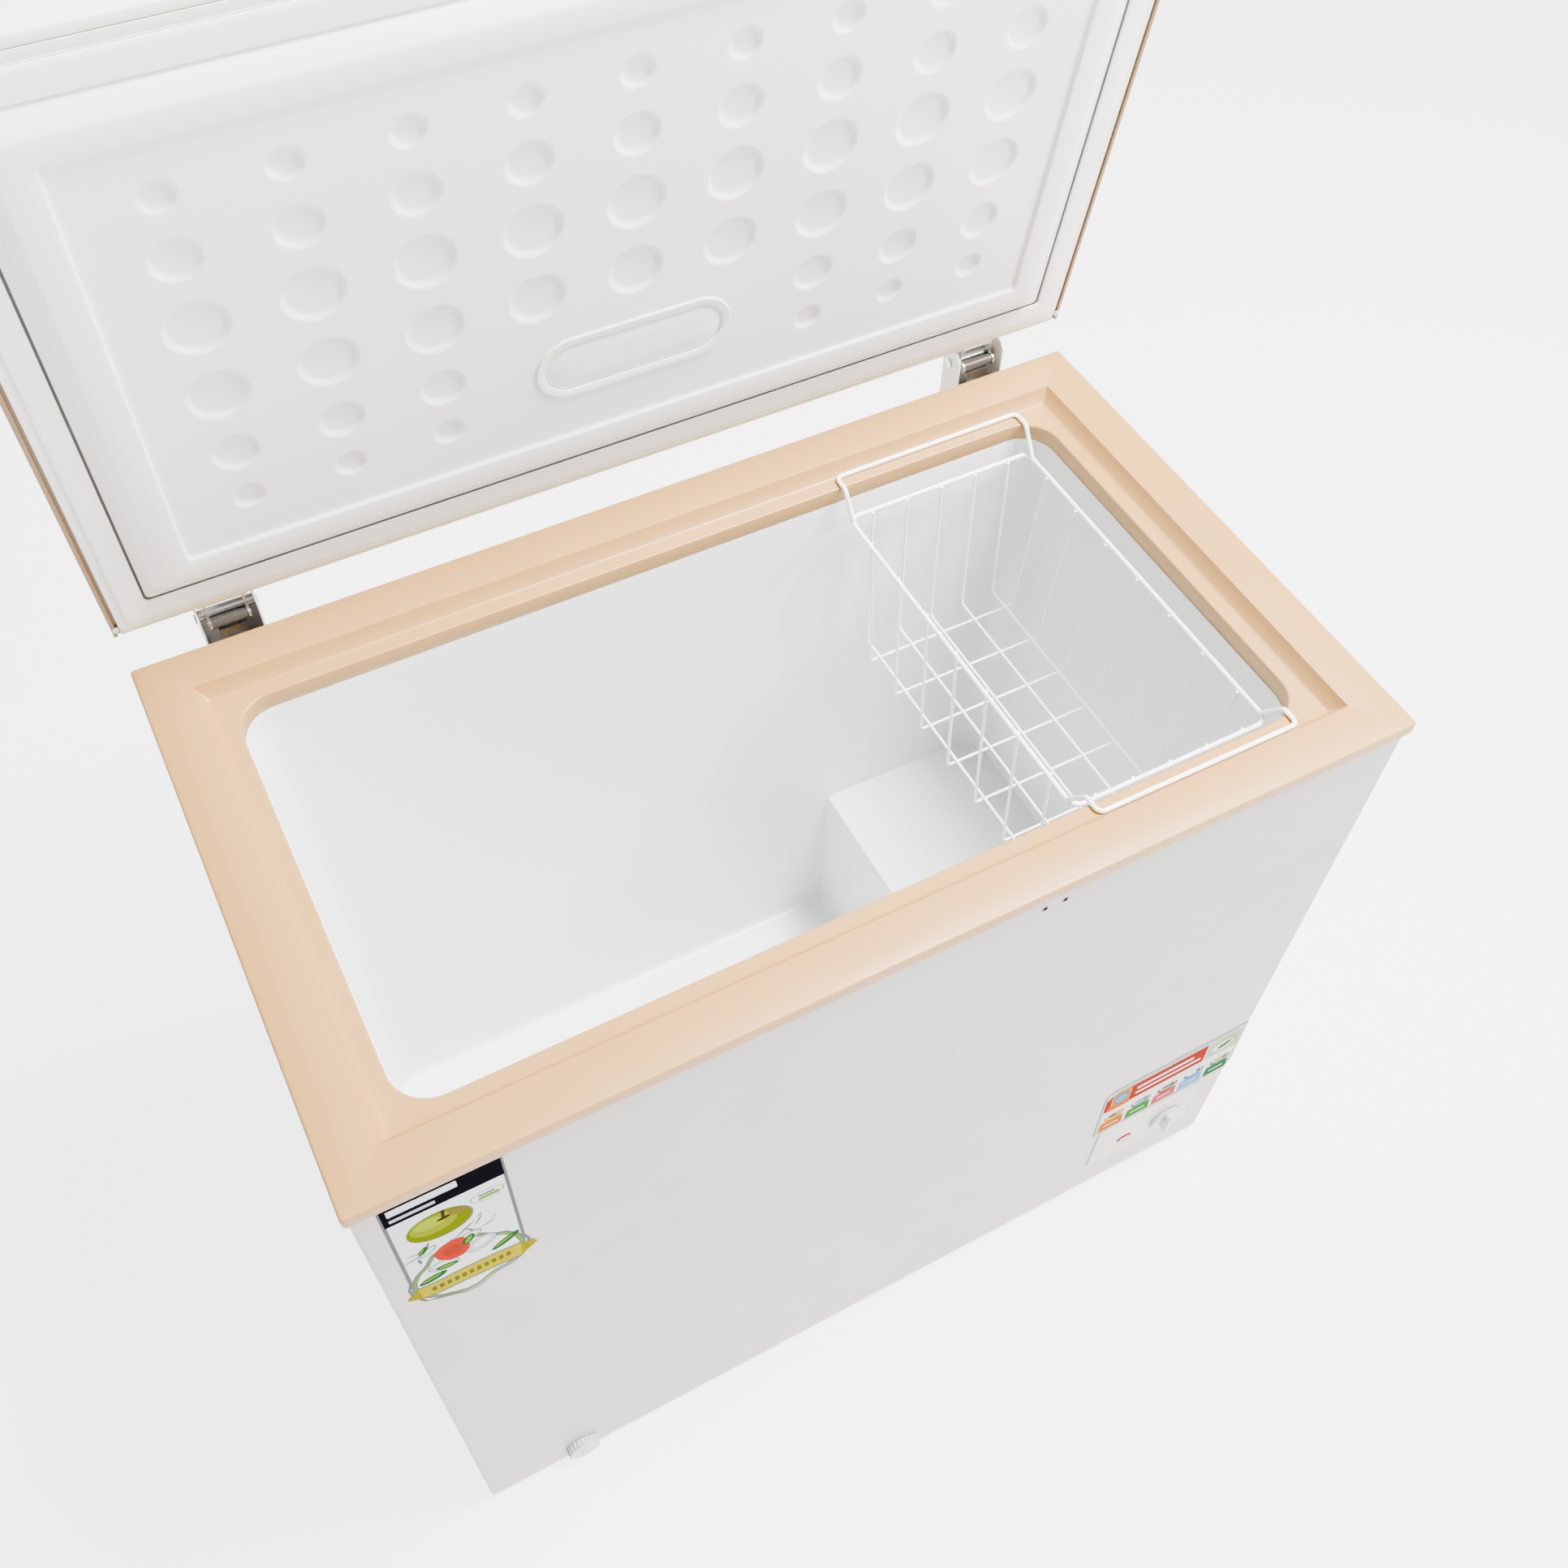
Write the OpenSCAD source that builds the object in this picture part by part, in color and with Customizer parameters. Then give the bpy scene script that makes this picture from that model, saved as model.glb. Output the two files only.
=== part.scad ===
// Chest freezer with a top-hinged lid, hanging wire basket and a corner machine bay.
// Origin: centre of the overall footprint on the floor, lid open. +Z up, the front faces -Y. Millimetres.

/* [Cabinet] */
// Width of the collar, left to right
collar_w = 945; // [700:5:1200]
// Depth of the collar, front to back
collar_d = 545.4; // [450:0.1:700]
// Height of the collar's top above the floor
collar_z = 817.4; // [700:0.1:900]
// How far the collar stands out past the body on each side
collar_over = 3.7; // [0:0.1:10]
// Height of the collar's outer edge
collar_edge = 12.5; // [8:0.1:25]
// Height of the feet
foot_h = 12; // [8:1:50]
// Thickness of the painted sheet
sheet_t = 0.8; // [0.5:0.1:1.5]

/* [Opening and tub] */
// Half width of the recess at the collar's top
recess_x = 431; // [350:0.1:450]
// Half depth of the recess at the collar's top
recess_y = 230.7; // [180:0.1:250]
// Depth of the ledge below the collar's top
ledge_drop = 14.1; // [8:0.1:25]
// How far the recess walls lean in, from its top down to the ledge
recess_lean = 8.6; // [0:0.1:15]
// Half width of the opening
open_x = 407.8; // [300:0.1:430]
// Half depth of the opening
open_y = 208; // [150:0.1:220]
// Corner radius of the opening
open_r = 34; // [10:1:60]
// Height of the tub's floor
tub_floor = 84; // [60:1:150]
// Height of the step over the machine bay
step_z = 300; // [200:1:400]
// Where the step starts, from the cabinet's middle
step_x = 191; // [100:1:300]
// Thickness of the tub's wall
tub_t = 1.2; // [0.8:0.1:3]

/* [Lid] */
// How far the lid is open as drawn
lid_open = 81.53; // [0:0.01:85]
// Height of the closed lid above the collar
lid_h = 36; // [25:1:60]
// Height of the hinge axis above the collar's top
hinge_rise = 9.9; // [5:0.1:20]
// Distance of the hinge axis behind the cabinet's middle
hinge_y = 294.5; // [280:0.1:320]
// Distance of each hinge from the cabinet's middle
hinge_x = 380; // [250:1:430]
// Depth of the dimples in the lid's lining
dimple_deep = 2; // [1:0.1:4]

/* [Basket] */
// Where the basket's middle stands along the opening
basket_x = 286.7; // [-286:0.1:287]
// Radius of the basket's thick wires
thick_wire = 2.25; // [1.5:0.05:3]
// Radius of the basket's thin wires
thin_wire = 1.4; // [1:0.05:2]
// Height of the basket's rim wire
rim_z = 777.3; // [740:0.1:785]
// Height of the basket's floor wires
grid_z = 603; // [500:1:700]

/* [Controls] */
// Thermostat knob radius
knob_r = 19.3; // [12:0.1:25]
// Thermostat knob position across the front
knob_x = 394.3; // [300:0.1:430]
// Thermostat knob height
knob_z = 109.8; // [60:0.1:200]
// Drain cap radius
drain_r = 17.5; // [12:0.1:25]
// Drain position across the front
drain_x = -362; // [-430:1:-100]
// Drain height
drain_z = 34.5; // [32:0.1:60]
// Spacing of the two lock screw holes
lock_gap = 19.3; // [15:0.1:40]

/* [Hidden] */
$fn = 48;
eps = 0.01;

paint = [0.83, 0.82, 0.81];
white = [0.93, 0.93, 0.92];
tan_plastic = [0.91, 0.80, 0.69];
steel = [0.7, 0.71, 0.72];
black = [0.12, 0.12, 0.13];
copper = [0.72, 0.45, 0.28];
foam_yellow = [0.9, 0.85, 0.62];

// The overall footprint, lid open, reaches further back than forward, so the cabinet stands this far forward
cab_y = -17.5;
body_x = collar_w / 2 - collar_over;
body_y = collar_d / 2 - collar_over - 0.3;
body_top = collar_z - collar_edge;
front_y = -body_y;
hinge_z = collar_z + hinge_rise;
ledge_z = collar_z - ledge_drop;
collar_under = ledge_z - 2.9;
tub_top = collar_z - 31;
tub_x = 405.5;
tub_y = 207;
tub_r = 26;
rear_y = body_y - 2 * sheet_t;
rear_face = body_y - sheet_t;
bay_x = 255;
bay_z = 240;
wrap_r = 4;
// The rear sheets end where the wrap's corners start to turn
panel_edge = body_x - wrap_r - 0.2;

// Evaporator and condenser loops, and the slots left for them in the foam
loop_zs = [340, 440, 540, 640, 740];
evap_r = 4;
evap_gap = 6;
cond_r = 2.4;
cond_in = 4.3;

// Compressor and its four mounts
comp_x = 362;
comp_y = 110;
comp_r = 68;
mount_dx = 70;
mount_dy = 78;
tray_z = foot_h + 1.2;
plate_z = 31;

// Hinge parts, measured from the middle of each hinge
channel_x = 26;
channel_t = 1.5;
channel_back = 305;
channel_top = collar_z + 27;
channel_low = 600;
arm_in = 16;
arm_t = 2;
pin_r = 3;
lever_y = 285;
lever_z = collar_z + 8;
sleeve_r = 4.5;
spring_y = 289;
spring_low = 650;
seat_z = 794;
seat_gap = 2.2;
lid_back = 272.7;

// Closed lid, heights above the collar's top
gasket_low = 0.5;
flange_low = 2.2;
flange_t = 1.2;
bulge_low = -8.4;
panel_low = -5.4;
pan_x = 466;
pan_front = -262.3;
lamp_y = 114.7;

module cabinet() { translate([0, cab_y, 0]) children(); }

// Draws the lid's pieces closed, then swings them open about the hinge axis
module on_lid() {
    cabinet() translate([0, hinge_y, hinge_z]) rotate([-lid_open, 0, 0])
        translate([0, -hinge_y, -hinge_z]) children();
}

module round_rect(w, d, r) {
    square([w - 2 * r, d], center = true);
    square([w, d - 2 * r], center = true);
    for (x = [-1, 1], y = [-1, 1]) translate([x * (w / 2 - r), y * (d / 2 - r)]) circle(r);
}

module round_box(w, d, r, z0, z1) { translate([0, 0, z0]) linear_extrude(z1 - z0) round_rect(w, d, r); }

// A block between two corners
module block(a, b) { translate(a) cube(b - a); }

// A block whose four sides lean: half sizes x0, front yf0 and back yb0 at z0, then x1, yf1 and yb1 at z1
module lean_block(z0, x0, yf0, yb0, z1, x1, yf1, yb1) {
    intersection() {
        translate([0, 1000, 0]) rotate([90, 0, 0]) linear_extrude(2000)
            polygon([[-x0, z0], [x0, z0], [x1, z1], [-x1, z1]]);
        translate([-1000, 0, 0]) rotate([90, 0, 90]) linear_extrude(2000)
            polygon([[yf0, z0], [yb0, z0], [yb1, z1], [yf1, z1]]);
    }
}

// A round bar from a to b
module rod(a, b, r) {
    v = b - a;
    translate(a) rotate([0, atan2(norm([v[0], v[1]]), v[2]), atan2(v[1], v[0])]) cylinder(r = r, h = norm(v));
}

function unit(v) = v / norm(v);
function left_of(v) = [-v[1], v[0]];
function turn_of(p, i) = let (a = unit(p[i] - p[i - 1]), b = unit(p[i + 1] - p[i]))
    atan2(a[0] * b[1] - a[1] * b[0], a * b);
function cut_of(p, i, bend) = i == 0 || i == len(p) - 1 ? 0 : bend * tan(abs(turn_of(p, i)) / 2);

// A round wire along flat points p in the XY plane, with its inner corners bent to a radius
module wire(p, r, bend) {
    for (i = [0 : len(p) - 2]) {
        d = unit(p[i + 1] - p[i]);
        a = p[i] + d * cut_of(p, i, bend);
        b = p[i + 1] - d * cut_of(p, i + 1, bend);
        rod([a[0], a[1], 0], [b[0], b[1], 0], r);
    }
    for (i = [1 : len(p) - 2]) {
        d = unit(p[i] - p[i - 1]);
        turn = turn_of(p, i);
        side = turn > 0 ? 1 : -1;
        start = p[i] - d * cut_of(p, i, bend);
        centre = start + left_of(d) * bend * side;
        out = start - centre;
        first = atan2(out[1], out[0]);
        translate(centre) rotate(turn > 0 ? first : first + turn)
            rotate_extrude(angle = abs(turn)) translate([bend, 0]) circle(r);
    }
}

// A closed wire loop round a rectangle of half sizes x and y
module wire_loop(x, y, r, bend) { wire([[0, -y], [x, -y], [x, y], [-x, y], [-x, -y], [0, -y]], r, bend); }

// A pan-head screw with its head's underside at the origin and its shank along -Z
module screw(r, long) {
    translate([0, 0, -long]) cylinder(r = r, h = long);
    difference() {
        cylinder(r = 2 * r, h = 1.2 * r);
        for (a = [0, 90]) rotate(a) translate([-1.3 * r, -0.2 * r, 0.6 * r]) cube([2.6 * r, 0.4 * r, r]);
    }
}

// Cabinet ---------------------------------------------------------------------------------------------

module lock_holes(r, long) {
    for (x = [103.3, 103.3 + lock_gap])
        translate([x, front_y - 1, 787.3]) rotate([-90, 0, 0]) cylinder(r = r, h = long);
}

module outer_shell() {
    color(paint) cabinet() difference() {
        round_box(2 * body_x, 2 * body_y, wrap_r, foot_h, body_top);
        round_box(2 * (body_x - sheet_t), 2 * (body_y - sheet_t), wrap_r - sheet_t, foot_h - 1, body_top + 1);
        // The back stays open between the two turned-in edges
        block([-body_x + 14, body_y - 3, foot_h - 1], [body_x - 14, body_y + 1, body_top + 1]);
        lock_holes(2, 10);
        block([panel_x0 + 4, front_y - 1, panel_z0 + 4], [panel_x1 - 4, front_y + 3, panel_z1 - 4]);
        translate([drain_x, front_y - 1, drain_z]) rotate([-90, 0, 0]) cylinder(r = 12, h = 5);
        for (z = [60 : 14 : 214]) block([body_x - 5, -150, z], [body_x + 1, 150, z + 5]);
    }
}

// The space inside the painted wrap, as far back as the rear panel's inner face
module inside_wrap(z0, z1) {
    difference() {
        round_box(2 * (body_x - sheet_t), 2 * (body_y - sheet_t), wrap_r - sheet_t, z0, z1);
        block([-body_x, rear_y, z0 - 1], [body_x, body_y, z1 + 1]);
    }
}

module rear_screws(zs, xs) {
    for (x = xs, z = zs) translate([x, rear_face, z]) rotate([-90, 0, 0]) children();
}

module rear_panel() {
    color(paint) cabinet() difference() {
        block([-panel_edge, rear_y, tray_z], [panel_edge, rear_face, body_top]);
        block([bay_x + 2, rear_y - 1, foot_h], [body_x, rear_y + 2, bay_z - 2]);
        for (s = [-1, 1]) hinge_fixings(s) cylinder(r = 2.5, h = 14, center = true);
    }
}

module base_plate() {
    color(steel) cabinet() difference() {
        round_box(2 * (body_x - sheet_t), 2 * (body_y - sheet_t), wrap_r - sheet_t, foot_h, tray_z);
        at_feet() cylinder(r = 2.5, h = 10, center = true);
        at_mounts() cylinder(r = 4, h = 60, center = true);
        for (x = [290 : 16 : 434]) block([x, -200, foot_h - 1], [x + 6, -60, foot_h + 2]);
    }
}

module at_feet() {
    for (x = [-1, 1], y = [-1, 1]) translate([x * (body_x - 45), y * (body_y - 40), foot_h]) children();
}

module feet() {
    color(black) cabinet() at_feet() translate([0, 0, -foot_h]) difference() {
        union() {
            cylinder(r1 = 18, r2 = 20, h = 3);
            translate([0, 0, 3]) cylinder(r = 20, h = foot_h - 3);
        }
        translate([0, 0, 5]) cylinder(r = 2.5, h = foot_h);
        translate([0, 0, -1]) cylinder(r = 6, h = 6);
    }
}

// Each foot's screw is driven up from below, with its head sunk in the foot
module foot_screws() {
    color(steel) cabinet() at_feet() translate([0, 0, 5 - foot_h]) rotate([180, 0, 0]) screw(2.5, 16);
}

module tub_space(grow) {
    x = tub_x + grow;
    y = tub_y + grow;
    r = tub_r + grow;
    round_box(2 * x, 2 * y, r, step_z - grow, tub_top + eps);
    low_w = tub_x + step_x + 2 * grow;
    translate([(step_x - tub_x) / 2, 0, 0]) round_box(low_w, 2 * y, r, tub_floor - grow, step_z + 1);
    // The step's face meets the front and the back in square corners
    block([0, -y, tub_floor - grow], [step_x + grow, y, step_z + 1]);
}

module tub() {
    color(white) cabinet() difference() {
        union() {
            tub_space(tub_t);
            round_box(2 * tub_x + 16, 2 * tub_y + 10, tub_r + 4, tub_top - tub_t, tub_top);
        }
        tub_space(0);
        block([-body_x, -body_y, tub_top], [body_x, body_y, body_top]);
        translate([drain_x, -185, tub_floor - 5]) cylinder(r = 11, h = 10);
    }
}

module collar() {
    color(tan_plastic) cabinet() difference() {
        union() {
            round_box(collar_w, collar_d, 3.5, body_top, collar_z);
            round_box(2 * recess_x + 20, 2 * recess_y + 20, 6, collar_under, body_top);
            round_box(2 * open_x + 5, 2 * open_y + 5, open_r + 2.5, tub_top, collar_under);
        }
        lean_block(ledge_z, recess_x - recess_lean, -recess_y + recess_lean, recess_y - recess_lean,
            collar_z + 1, recess_x + 0.6, -recess_y - 0.6, recess_y + 0.6);
        round_box(2 * open_x, 2 * open_y, open_r, tub_top - 1, collar_z);
    }
}

module cabinet_foam() {
    color(foam_yellow) cabinet() difference() {
        inside_wrap(tray_z, body_top);
        tub_space(tub_t);
        block([-tub_x - 8, -tub_y - 5, tub_top - tub_t], [tub_x + 8, tub_y + 5, body_top]);
        round_box(2 * open_x + 5, 2 * open_y + 5, open_r + 2.5, tub_top - eps, body_top);
        block([-recess_x - 10, -recess_y - 10, collar_under], [recess_x + 10, recess_y + 10, body_top + 1]);
        block([bay_x - 1, -body_y, foot_h], [body_x, body_y, bay_z + 1]);
        for (z = loop_zs) {
            round_box(2 * (tub_x + 14), 2 * (tub_y + 14), tub_r + 14, z - 6, z + 6);
            difference() {
                round_box(2 * body_x, 2 * body_y, wrap_r, z - 4, z + 4);
                round_box(2 * body_x - 18, 2 * body_y - 18, 6, z - 5, z + 5);
            }
        }
        block([-8, tub_y, loop_zs[0]], [8, tub_y + 14, loop_zs[4] + 6]);
        block([42, rear_y - 9, loop_zs[0]], [58, rear_y + 1, loop_zs[4] + 4]);
        lock_holes(3, 30);
        drain_path(11.5);
        for (s = [-1, 1]) hinge_fixings(s) cylinder(r = 3, h = 30, center = true);
        at_feet() cylinder(r = 5, h = 40, center = true);
    }
}

module evaporator_tube() {
    x = tub_x + tub_t + evap_gap;
    y = tub_y + tub_t + evap_gap;
    color([0.75, 0.76, 0.78]) cabinet() {
        for (z = loop_zs) translate([0, 0, z]) wire_loop(x, y, evap_r, tub_r + 6);
        rod([0, y, loop_zs[0]], [0, y, loop_zs[4]], evap_r);
    }
}

module condenser_tube() {
    half_y = body_y - cond_in - 0.4;
    color(copper) cabinet() translate([0, -sheet_t, 0]) {
        for (z = loop_zs) translate([0, 0, z]) wire_loop(body_x - cond_in, half_y, cond_r, 6);
        rod([50, half_y, loop_zs[0]], [50, half_y, loop_zs[4]], cond_r);
    }
}

// Machine bay -----------------------------------------------------------------------------------------

module bay_wall() {
    color(steel) cabinet() difference() {
        inside_wrap(tray_z, bay_z + 1);
        block([-body_x, -body_y, foot_h], [bay_x - 1, body_y, bay_z + 2]);
        block([bay_x, -body_y, foot_h], [body_x, body_y, bay_z]);
    }
}

module bay_cover() {
    color(paint) cabinet() difference() {
        block([bay_x + 2.3, rear_y, tray_z], [panel_edge, rear_face, bay_z - 2.3]);
        for (x = [282 : 24 : 430], z = [40 : 12 : 196])
            if (x < 400 || z > 70) block([x, rear_y - 1, z], [x + 16, rear_y + 2, z + 5]);
        translate([432, rear_y + 3, 40]) rotate([90, 0, 0]) cylinder(r = 9, h = 6);
        rear_screws([24, 226], [264, 446]) cylinder(r = 2, h = 4, center = true);
    }
}

module bay_cover_screws() {
    color(steel) cabinet() rear_screws([24, 226], [264, 446]) screw(2, 8);
}

// A bushing for the mains lead; it clips into the bay cover
module cord_gland() {
    color(black) cabinet() translate([432, rear_y, 40]) rotate([-90, 0, 0]) difference() {
        union() {
            translate([0, 0, sheet_t]) cylinder(r = 12, h = 3);
            cylinder(r = 9, h = sheet_t);
            translate([0, 0, -3]) cylinder(r = 10.5, h = 3);
        }
        translate([0, 0, -4]) cylinder(r = 4.2, h = 10);
    }
}

module at_mounts() {
    for (x = [-1, 1], y = [-1, 1])
        translate([comp_x + x * mount_dx, comp_y + y * mount_dy, tray_z]) children();
}

module compressor() {
    color(black) cabinet() translate([comp_x, comp_y, 0]) {
        translate([0, 0, plate_z + 2]) rotate_extrude() {
            square([comp_r - 14, 14]);
            translate([comp_r - 14, 14]) circle(14);
            translate([0, 14]) square([comp_r, 106]);
            translate([0, 66]) square([comp_r + 3, 5]);
            translate([comp_r - 30, 120]) circle(30);
            square([comp_r - 30, 150]);
        }
    }
}

module compressor_plate() {
    color(black) cabinet() difference() {
        block([comp_x - mount_dx - 14, comp_y - mount_dy - 14, plate_z],
            [comp_x + mount_dx + 14, comp_y + mount_dy + 14, plate_z + 2]);
        at_mounts() cylinder(r = 7, h = 60, center = true);
    }
}

module compressor_tray() {
    color(steel) cabinet() difference() {
        block([comp_x - 95, comp_y - 110, tray_z], [comp_x + 95, comp_y + 110, tray_z + 1.5]);
        at_mounts() cylinder(r = 4, h = 10, center = true);
    }
}

module compressor_grommets() {
    color([0.08, 0.08, 0.08]) cabinet() at_mounts() difference() {
        union() {
            translate([0, 0, 1.5]) cylinder(r = 12, h = plate_z - tray_z - 1.5);
            cylinder(r = 7, h = 0.1 + plate_z - tray_z + 5);
            translate([0, 0, plate_z - tray_z + 2]) cylinder(r = 10, h = 3);
        }
        translate([0, 0, -1]) cylinder(r = 4, h = 40);
        translate([0, 0, -1]) cylinder(r = 15, h = 2.5);
    }
}

module compressor_bolts() {
    color(steel) cabinet() at_mounts() {
        translate([0, 0, -1.2]) cylinder(r = 3.9, h = plate_z - tray_z + 10);
        translate([0, 0, plate_z - tray_z + 5.1]) cylinder(r = 7.5, h = 5, $fn = 6);
    }
}

module relay_cover() {
    color([0.18, 0.18, 0.19]) cabinet() difference() {
        block([comp_x - 32, comp_y - comp_r - 31, 108], [comp_x + 32, comp_y - comp_r, 158]);
        block([comp_x - 29, comp_y - comp_r - 28, 111], [comp_x + 29, comp_y - comp_r + 1, 155]);
    }
}

module filter_drier() {
    color(copper) cabinet() translate([290, -60, 130]) {
        cylinder(r = 9, h = 80);
        translate([0, 0, 80]) cylinder(r1 = 9, r2 = 3, h = 10);
        translate([0, 0, -10]) cylinder(r1 = 3, r2 = 9, h = 10);
    }
}

module bay_pipes() {
    color(copper) cabinet() {
        // Pressure pipe, from the compressor's side forward and up to the filter
        translate([0, 0, 60]) wire([[comp_x - comp_r, comp_y], [280, comp_y], [280, -60], [290, -60]], 3, 8);
        rod([290, -60, 60], [290, -60, 120], 3);
        translate([290, -60, 60]) sphere(3);
        // Suction pipe, from the compressor's top up through the bay's ceiling
        rod([comp_x + 20, comp_y, plate_z + 152], [comp_x + 20, comp_y, bay_z], 4);
        // Filling stub
        rod([comp_x, comp_y + comp_r, 80], [comp_x, comp_y + comp_r + 40, 80], 3);
    }
}

// Controls --------------------------------------------------------------------------------------------

panel_x0 = 291.5;
panel_x1 = 433;
panel_z0 = 70;
panel_z1 = 165.8;
panel_out = 1.6;
lens_x = 336.1;
lens_z = 110.6;
panel_screw_xs = [302, 422];

module oval(long, high) {
    r = high / 2;
    for (s = [-1, 1]) translate([s * (long / 2 - r), 0]) circle(r);
    square([long - high, high], center = true);
}

// Places flat shapes on the front, looking at it, with depth running back into the cabinet
module on_front(x, z, out) {
    translate([x, front_y - out, z]) rotate([90, 0, 0]) mirror([0, 0, 1]) children();
}

module control_panel() {
    w = panel_x1 - panel_x0;
    h = panel_z1 - panel_z0;
    color(paint) cabinet() difference() {
        union() {
            on_front((panel_x0 + panel_x1) / 2, (panel_z0 + panel_z1) / 2, panel_out)
                linear_extrude(panel_out) round_rect(w, h, 3);
            block([panel_x0 + 4.2, front_y, panel_z0 + 4.2], [panel_x1 - 4.2, front_y + 12, panel_z1 - 4.2]);
        }
        block([panel_x0 + 6, front_y + 1, panel_z0 + 6], [panel_x1 - 6, front_y + 13, panel_z1 - 6]);
        on_front(knob_x, knob_z, panel_out + 1) cylinder(r = 4.5, h = 10);
        on_front(lens_x, lens_z, panel_out + 1) linear_extrude(10) oval(14.6, 5.6);
        for (x = panel_screw_xs) on_front(x, 152, panel_out + 1) cylinder(r = 1.5, h = 10);
    }
}

module panel_screws() {
    color(steel) cabinet() for (x = panel_screw_xs)
        translate([x, front_y + 1, 152]) rotate([-90, 0, 0]) screw(1.5, 2);
}

module thermostat_body() {
    color([0.5, 0.52, 0.55]) cabinet() difference() {
        union() {
            block([knob_x - 22, front_y + 4, knob_z - 18], [knob_x + 22, front_y + 38, knob_z + 18]);
            on_front(knob_x, knob_z, -1) cylinder(r = 7, h = 3);
        }
        on_front(knob_x, knob_z, 0) cylinder(r = 3.1, h = 18);
    }
}

module thermostat_shaft() {
    color(steel) cabinet() on_front(knob_x, knob_z, 9) cylinder(r = 3, h = 24);
}

module thermostat_knob() {
    color(white) cabinet() on_front(knob_x, knob_z, panel_out + 11.3) difference() {
        union() {
            translate([0, 0, 7.5]) cylinder(r = knob_r, h = 3.5);
            translate([0, 0, 1]) linear_extrude(8) intersection() {
                circle(knob_r - 1.5);
                square([8, 60], center = true);
            }
            linear_extrude(2) intersection() {
                circle(knob_r - 2.5);
                square([6, 60], center = true);
            }
            translate([0, 0, 4]) cylinder(r = 8, h = 6);
        }
        translate([0, 0, 11 + panel_out - 9]) cylinder(r = 3, h = 20);
    }
}

module indicator_lens() {
    color([0.75, 0.08, 0.06]) cabinet() on_front(lens_x, lens_z, panel_out + 1) linear_extrude(5) oval(14, 5);
}

module indicator_holder() {
    color(black) cabinet() on_front(lens_x, lens_z, -2.5) linear_extrude(12) difference() {
        square([20, 12], center = true);
        square([15, 6.4], center = true);
    }
}

// The drain runs down from the tub's floor, then forward to the cap
module drain_path(r) {
    rod([drain_x, -185, drain_z], [drain_x, -185, tub_floor], r);
    translate([drain_x, -185, drain_z]) sphere(r);
    on_front(drain_x, drain_z, 0) cylinder(r = r, h = -front_y - 185);
}

module drain_tube() {
    color(white) cabinet() difference() {
        union() {
            rod([drain_x, -185, drain_z], [drain_x, -185, tub_floor - tub_t], 11.4);
            translate([drain_x, -185, drain_z]) sphere(11.4);
            on_front(drain_x, drain_z, 0) cylinder(r = 11.4, h = -front_y - 185);
        }
        rod([drain_x, -185, drain_z], [drain_x, -185, tub_floor], 9.5);
        translate([drain_x, -185, drain_z]) sphere(9.5);
        on_front(drain_x, drain_z, 1) cylinder(r = 9.5, h = -front_y - 184);
    }
}

module drain_plug() {
    color(white) cabinet() translate([drain_x, -185, tub_floor]) {
        cylinder(r = 15, h = 2.5);
        translate([0, 0, -tub_t]) cylinder(r = 10.7, h = tub_t);
        translate([0, 0, -14]) cylinder(r = 9.2, h = 14);
        translate([-2, -9, 2.5]) cube([4, 18, 7]);
    }
}

module drain_cap() {
    ribs = 24;
    color(white) cabinet() on_front(drain_x, drain_z, 9.5) {
        difference() {
            cylinder(r = drain_r, h = 9.2);
            translate([0, 0, 2]) cylinder(r = drain_r - 2.5, h = 10);
        }
        for (i = [0 : ribs - 1]) rotate(i * 360 / ribs)
            translate([drain_r - 0.3, -0.6, 1]) cube([1.1, 1.2, 8.2]);
        translate([0, 0, 1.5]) cylinder(r = 9.2, h = 22);
        translate([-2, -11, -1.5]) cube([4, 22, 1.6]);
    }
}

// Stickers --------------------------------------------------------------------------------------------

sticker_t = 0.25;

module feature_sticker() {
    w = 189;
    h = 112;
    corner_r = 16;
    color(white) cabinet() on_front(373.2, 225.8, sticker_t)
        linear_extrude(sticker_t) rotate(2.2) difference() {
        square([w, h], center = true);
        for (s = [-1, 1]) difference() {
            translate([s * w / 2, -s * h / 2]) square(2 * corner_r, center = true);
            translate([s * (w / 2 - corner_r), -s * (h / 2 - corner_r)]) circle(corner_r);
        }
    }
}

module front_sticker() {
    color(white) cabinet() on_front(0, 0, sticker_t) linear_extrude(sticker_t)
        polygon([[-450, body_top - 0.5], [-356.5, body_top - 0.5], [-356.5, 642], [-348.5, 625.6],
            [-371, 604], [-385, 602], [-401, 590.5], [-413, 590.5], [-433, 604], [-456.6, 628], [-450, 656]]);
}

// Hinges ----------------------------------------------------------------------------------------------

// Screw places on a housing's two side flanges, with +Z pointing back
module hinge_fixings(side) {
    for (x = [-1, 1], z = [660, 770])
        translate([side * hinge_x + x * (channel_x + 8), rear_face + channel_t, z])
            rotate([-90, 0, 0]) children();
}

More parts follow.
